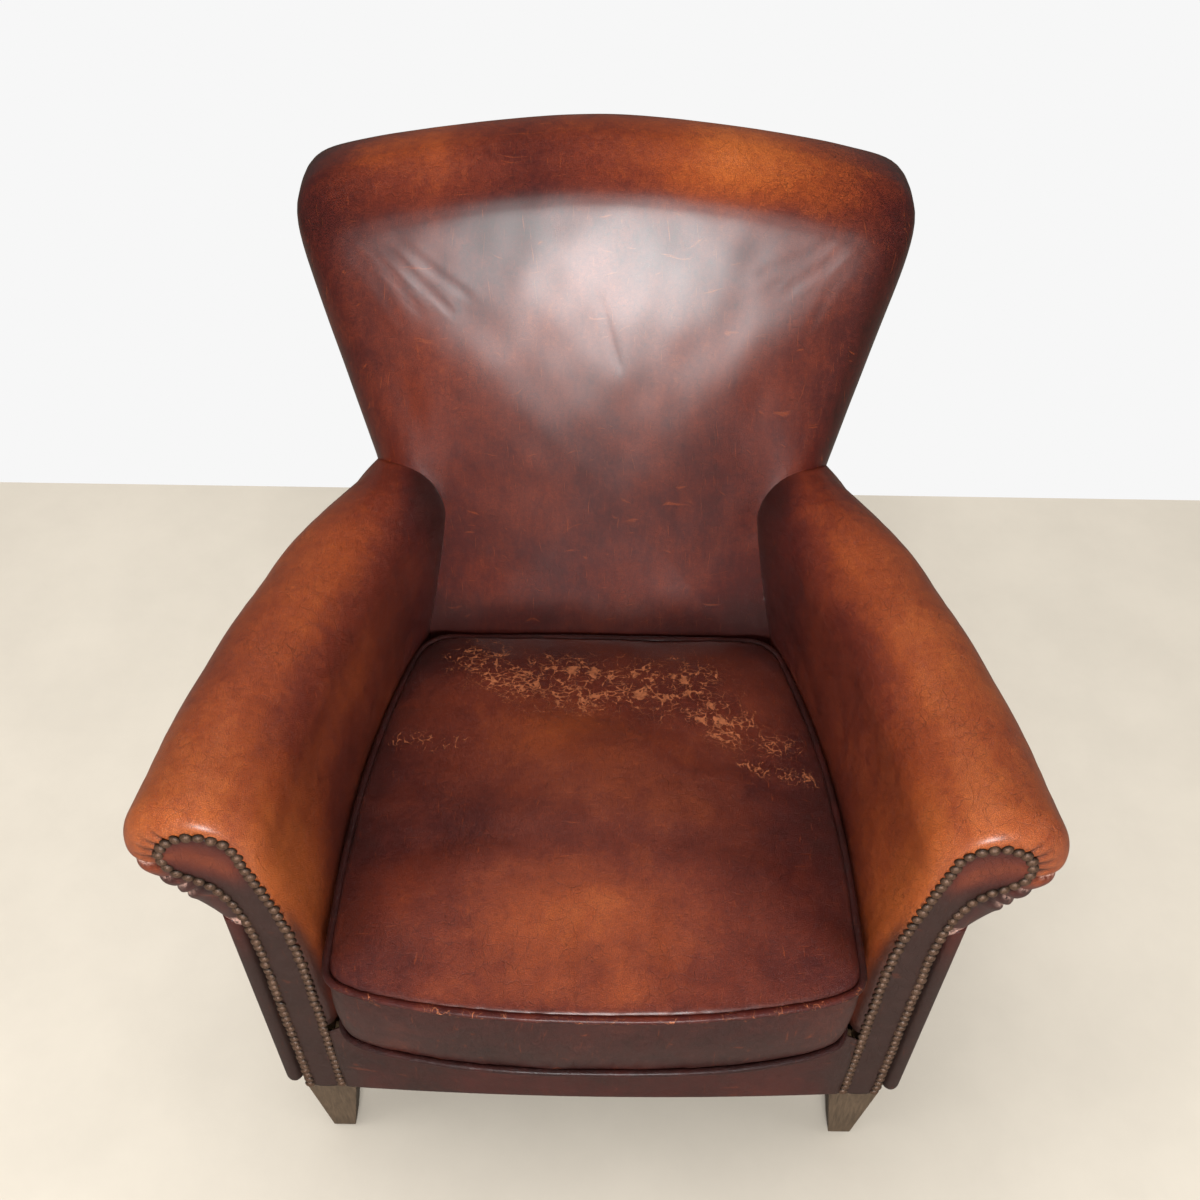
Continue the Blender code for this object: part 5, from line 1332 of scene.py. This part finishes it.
class CLUBCHAIR_OT_cushion(bpy.types.Operator):
    """Build the boxed seat cushion, swell it, and sew on its piping"""
    bl_idname = "clubchair.cushion"
    bl_label = "Seat cushion"

    def execute(self, context):
        crown = sizes().crown
        outline = cushion_outline(280)
        low, high = CUSHION_FOOT, CUSHION_EDGE
        levels = [(0.04, low), (0.50, low), (0.955, low), (0.982, low + 0.003), (0.996, low + 0.010)]
        for t in np.linspace(0, 1, 16)[1:-1]:
            bulge = 0.016 * math.sin(math.pi * t) ** 0.7
            levels.append((0.996 + bulge, low + 0.010 + (high - 0.012 - low) * t))
        levels += [(0.996, high - 0.001), (0.985, high + 0.004)]
        for turn in np.linspace(0, math.pi / 2, 26)[1:]:
            share = math.cos(turn) ** 1.15 * 0.985
            levels.append((max(share, 0.01), high + 0.004 + (crown - 0.006) * math.sin(turn) ** 1.25))
        rings = np.array([cushion_ring(outline, share, z) for share, z in levels])
        count = len(outline)
        faces = [tuple(range(count))[::-1]] + grid_faces(len(levels), count, wrap=True)
        faces.append(tuple((len(levels) - 1) * count + i for i in range(count)))
        piece = make_piece("cushion_leather", rings.reshape(-1, 3), faces, towards=(0, 0, -1))
        seams = [cushion_ring(outline, 1.0, high), cushion_ring(outline, 1.0, low + 0.006)]
        remesh = piece.modifiers.new("remesh", "REMESH")
        remesh.mode = "VOXEL"
        remesh.voxel_size = 0.0052
        graph = context.evaluated_depsgraph_get()
        mesh = bpy.data.meshes.new_from_object(piece.evaluated_get(graph))
        piece.modifiers.remove(remesh)
        piece.data = mesh
        puff(piece, seams)
        points = coordinates(piece)
        normals = vertex_normals(piece)
        move_points(piece, points + normals * cushion_details(points, normals)[:, None])
        points = coordinates(piece)
        paint(piece, **cushion_masks(points, crown))
        piece.data.shade_smooth()
        material = leather("worn_seat_leather", base=0.19, shine=0.44, gloss=0.55, streaks=(5.0, 5.0, 5.0),
                           cracked=True)
        dress(piece, material, "seat_leather", "seat_cushion_cover", "seat_cushion_foam")
        self.piping(outline)
        return {"FINISHED"}

    def piping(self, outline):
        """Both welts, the top one swollen at its joints."""
        radius = sizes().piping
        material = leather("piping_leather", base=0.04, spread=0.8, shine=0.40, grain=0.6, gloss=0.3,
                           cracked=True)
        joints_at = ((-0.213, 0.007), (-0.231, -0.118), (-0.239, -0.232),
                     (0.215, -0.011), (0.232, -0.142), (0.240, -0.271))
        dense = resample(outline, 460, closed=True)
        for name, z, share in (("top", CUSHION_EDGE - 0.001, 1.006),
                               ("bottom", CUSHION_FOOT + 0.0048, 1.004)):
            line = cushion_ring(dense, share, z)
            line[:, 2] += waves(line, 0.14, 70) * 0.0010
            radii = radius * (1 + 0.05 * waves(line, 0.02, 71) + 0.03 * waves(line, 0.006, 72))
            if name == "top":
                for x, y in joints_at:
                    near = np.hypot(line[:, 0] - x, line[:, 1] - y)
                    knot, neck = bump_at(near, 0.0, 0.004), bump_at(near, 0.009, 0.003)
                    radii = radii * (1 + 0.22 * knot - 0.12 * neck)
            piece = closed_tube(f"cushion_{name}_piping", line, radii)
            points = coordinates(piece)
            front = 1 - smooth(points[:, 1], -0.37, -0.33)
            joints = np.zeros(len(points))
            if name == "top":
                joints = np.exp(-(distance_to(points, ((-0.215, 0.004), (-0.2151, 0.010))) / 0.008) ** 2)
            rubbed = 0.24 if name == "top" else 0.0
            wear = rubbed * front * smooth(points[:, 2], z - 0.002, z + 0.003)
            wear += 0.10 * waves(points, 0.05, 73) + 0.25 * joints
            paint(piece, wear=wear, crack=0.6 * rubbed * front, soil=0.45 - 0.30 * front)
            dress(piece, material, "piping_leather", f"seat_cushion_{name}_piping")


class CLUBCHAIR_OT_front_rail(bpy.types.Operator):
    """Build the leather over the front rail and the lip of the deck"""
    bl_idname = "clubchair.front_rail"
    bl_label = "Front rail leather"

    def execute(self, context):
        top, foot = 0.2866, LEG_HEIGHT - 0.0015
        wide, narrow = FACING_IN - 0.0051, SEAT_WIDTH / 2 - 0.003
        tuck = FACING_IN + 0.0125 - 0.0275 - 0.003
        face = FACING_Y - 0.002
        # depth behind the face, height, half width and share of the bow, from the tuck under the foot
        path = [(0.0120, foot + 0.001, tuck, 0.0), (0.0060, foot, tuck, 0.2),
                (0.0018, foot + 0.0008, tuck + 0.004, 0.6), (0.0002, foot + 0.0035, wide - 0.002, 0.9),
                (-0.0006, foot + 0.008, wide, 1.0)]
        for z in np.linspace(0.135, 0.245, 12):
            path.append((-0.0006 - 0.0016 * math.sin(math.pi * (z - 0.125) / 0.13), z, wide, 1.0))
        path += [(0.0000, 0.254, wide, 1.0), (0.0004, 0.262, narrow + 0.004, 1.0),
                 (0.0000, 0.268, narrow, 1.0), (0.0004, 0.2735, narrow, 1.0),
                 (0.0022, 0.279, narrow, 0.9), (0.006, 0.2835, narrow, 0.7),
                 (0.012, 0.2860, narrow, 0.4), (0.020, top, narrow, 0.2), (0.045, top, narrow, 0.0),
                 (0.100, top, narrow, 0.0)]
        rows = []
        for back, z, half, bow in path:
            rows.append([(half * t, face + back - 0.008 * bow * (1 - t * t), z)
                         for t in np.linspace(-1, 1, 121)])
        grid = np.array(rows)
        flat = grid.reshape(-1, 3)
        flat[:, 1] -= 0.0006 * waves(flat, 0.10, 81) * smooth(flat[:, 2], 0.12, 0.14)
        material = leather("front_rail_leather", base=0.04, spread=0.8, shine=0.40, grain=0.6, gloss=0.3)
        piece = make_piece("front_rail_leather", flat, grid_faces(*grid.shape[:2]), towards=(0, 0, -1))
        ends = smooth(np.abs(flat[:, 0]), 0.235, 0.272)
        # Painted shade along the top of the rail, under the cushion.
        paint(piece, wear=0.12 + 0.08 * waves(flat, 0.15, 82), taupe=0.25 + 0.6 * ends,
              soil=0.8 * smooth(flat[:, 2], 0.268, 0.284))
        thicken(piece, LEATHER)
        dress(piece, material, "dark_leather", "front_rail_cover")
        return {"FINISHED"}


class CLUBCHAIR_OT_frame(bpy.types.Operator):
    """Finish the legs, the frame, the springs and the other solids that stay as they are"""
    bl_idname = "clubchair.frame"
    bl_label = "Legs and frame"

    def execute(self, context):
        tints = colours()
        leg = wood("stained_leg_wood", tints.leg, tuple(c * 0.55 for c in tints.leg), 0.42)
        bare = wood("frame_wood", (0.50, 0.33, 0.18), (0.34, 0.20, 0.10), 0.55, (12.0, 12.0, 12.0))
        legs = [f"{end}_{side}_leg" for end in ENDS for _, side in SIDES]
        finishes = (
            (bare, FRAME_WOOD_NODES),
            (leg, legs),
            (moulded("glide_plastic", (0.035, 0.035, 0.035)), [f"{name}_glide" for name in legs]),
            (metal("bolt_steel", (0.45, 0.45, 0.46), 0.3), [f"{name}_bolt" for name in legs]),
            (metal("spring_steel", (0.30, 0.30, 0.31), 0.35), [f"seat_spring_{i}" for i in range(1, 5)]),
            (woven("webbing", (0.20, 0.16, 0.11)), [f"back_strap_{i}" for i in range(1, 4)]),
            (woven("zip_tape", (0.05, 0.035, 0.03), 0.0012), ["seat_cushion_zip"]),
            (woven("dust_cloth", (0.02, 0.02, 0.02), 0.0009, 0.95), ["dust_cover"]),
            (foam_material(), ["seat_deck_pad"]),
        )
        for material, names in finishes:
            for name in names:
                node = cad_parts[name]
                for slot in node.material_slots:
                    slot.material = material
        return {"FINISHED"}


class CLUBCHAIR_OT_stage(bpy.types.Operator):
    """Set the floor, the lamps and the camera"""
    bl_idname = "clubchair.stage"
    bl_label = "Stage"

    def execute(self, context):
        scene = context.scene
        half = 9.0
        corners = [(-half, -half, 0), (half, -half, 0), (half, half, 0), (-half, half, 0)]
        floor = make_piece("floor", corners, [(0, 1, 2, 3)], towards=(0, 0, 1))
        graph = Graph("pale_floor")
        place = graph.place()
        tint = colours().floor
        mottle = graph.noise(place, 5.0, 6.0, 0.65)
        tone = graph.mix(graph.span(mottle, 0.25, 0.75), (*[c * 0.93 for c in tint], 1), (*tint, 1))
        rays = graph.add("LightPath")
        in_mirror = graph.maths("MULTIPLY", rays.outputs["Is Glossy Ray"], 0.72)
        graph.feed(graph.shader.inputs["Base Color"], graph.mix(in_mirror, tone, (0, 0, 0, 1)))
        graph.shader.inputs["Roughness"].default_value = 0.8
        split = graph.add("SeparateXYZ", {0: place})
        far = graph.maths("GREATER_THAN", split.outputs[1], 0.82)
        seen = rays.outputs["Is Camera Ray"]
        white = graph.add("Emission", {"Color": (1, 1, 1, 1), "Strength": 0.93})
        blend = graph.add("MixShader", {0: graph.maths("MULTIPLY", far, seen), 1: graph.shader.outputs[0],
                                        2: white.outputs[0]})
        graph.feed(graph.tree.nodes["Material Output"].inputs["Surface"], blend.outputs[0])
        floor.data.materials.append(graph.material)

        world = bpy.data.worlds.new("studio")
        scene.world = world
        world.use_nodes = True
        tree = world.node_tree
        sky = tree.nodes["Background"]
        sky.inputs["Color"].default_value = (1.0, 0.985, 0.965, 1)
        path = tree.nodes.new("ShaderNodeLightPath")
        mirrored = tree.nodes.new("ShaderNodeMix")
        mirrored.inputs["A"].default_value = 0.34
        mirrored.inputs["B"].default_value = 0.12
        tree.links.new(path.outputs["Is Glossy Ray"], mirrored.inputs["Factor"])
        level = tree.nodes.new("ShaderNodeMix")
        tree.links.new(mirrored.outputs["Result"], level.inputs["A"])
        level.inputs["B"].default_value = 0.95
        tree.links.new(path.outputs["Is Camera Ray"], level.inputs["Factor"])
        tree.links.new(level.outputs["Result"], sky.inputs["Strength"])

        self.lamp("window", (0.05, -3.6, 1.72), (0.0, 0.1, 0.75), (0.95, 0.85), 115)
        self.lamp("front_fill", (0.2, -3.7, 1.9), (0.0, 0.1, 0.6), (2.6, 1.6), 62, mirrored=False)
        self.lamp("ceiling", (-0.5, 0.3, 3.4), (0.0, 0.0, 0.4), (3.0, 2.4), 80, mirrored=False)
        self.lamp("left_fill", (-3.2, -0.8, 1.9), (0.0, 0.0, 0.5), (1.8, 1.6), 20, mirrored=False)
        self.lamp("right_fill", (3.2, -0.6, 1.9), (0.0, 0.0, 0.5), (1.8, 1.6), 20, mirrored=False)

        lens = bpy.data.cameras.new("camera")
        lens.sensor_width = 36.0
        lens.lens = 37.5
        camera = bpy.data.objects.new("camera", lens)
        scene.collection.objects.link(camera)
        pitch, roll = math.radians(46.0), math.radians(0.87)
        forward = Vector((0, math.cos(pitch), -math.sin(pitch)))
        right = Vector((1, 0, 0))
        up = right.cross(forward)
        turned_right = right * math.cos(roll) + up * math.sin(roll)
        turned_up = -right * math.sin(roll) + up * math.cos(roll)
        camera.matrix_world = Matrix.Translation((0, FACING_Y - 0.577, 1.50)) @ Matrix(
            (turned_right, turned_up, -forward)).transposed().to_4x4()
        scene.camera = camera
        scene.view_settings.view_transform = "Standard"
        return {"FINISHED"}

    def lamp(self, name, at, target, size, power, mirrored=True):
        data = bpy.data.lights.new(name, "AREA")
        data.shape = "RECTANGLE"
        data.size, data.size_y = size
        data.energy = power
        lamp = bpy.data.objects.new(name, data)
        lamp.visible_glossy = mirrored
        lamp.location = at
        lamp.rotation_euler = (Vector(target) - Vector(at)).to_track_quat("-Z", "Y").to_euler()
        bpy.context.scene.collection.objects.link(lamp)


OPERATORS = (CLUBCHAIR_OT_stage, CLUBCHAIR_OT_arms, CLUBCHAIR_OT_facings, CLUBCHAIR_OT_nails,
             CLUBCHAIR_OT_outside_arms, CLUBCHAIR_OT_back, CLUBCHAIR_OT_front_rail, CLUBCHAIR_OT_cushion,
             CLUBCHAIR_OT_frame)


class CLUBCHAIR_PT_panel(bpy.types.Panel):
    bl_idname = "CLUBCHAIR_PT_panel"
    bl_label = "Club chair"
    bl_space_type = "VIEW_3D"
    bl_region_type = "UI"
    bl_category = "Club chair"

    def draw(self, context):
        for group in (context.scene.chair_sizes, context.scene.chair_colours):
            box = self.layout.box()
            for name in group.__annotations__:
                box.prop(group, name)
        for operator in OPERATORS:
            self.layout.operator(operator.bl_idname)


CLASSES = (ChairSizes, ChairColours, *OPERATORS, CLUBCHAIR_PT_panel)


def register():
    for item in CLASSES:
        bpy.utils.register_class(item)
    bpy.types.Scene.chair_sizes = PointerProperty(type=ChairSizes)
    bpy.types.Scene.chair_colours = PointerProperty(type=ChairColours)


def unregister():
    del bpy.types.Scene.chair_colours
    del bpy.types.Scene.chair_sizes
    for item in reversed(CLASSES):
        bpy.utils.unregister_class(item)


def main():
    register()
    for operator in OPERATORS:
        group, name = operator.bl_idname.split(".")
        getattr(getattr(bpy.ops, group), name)()


if __name__ == "__main__":
    main()
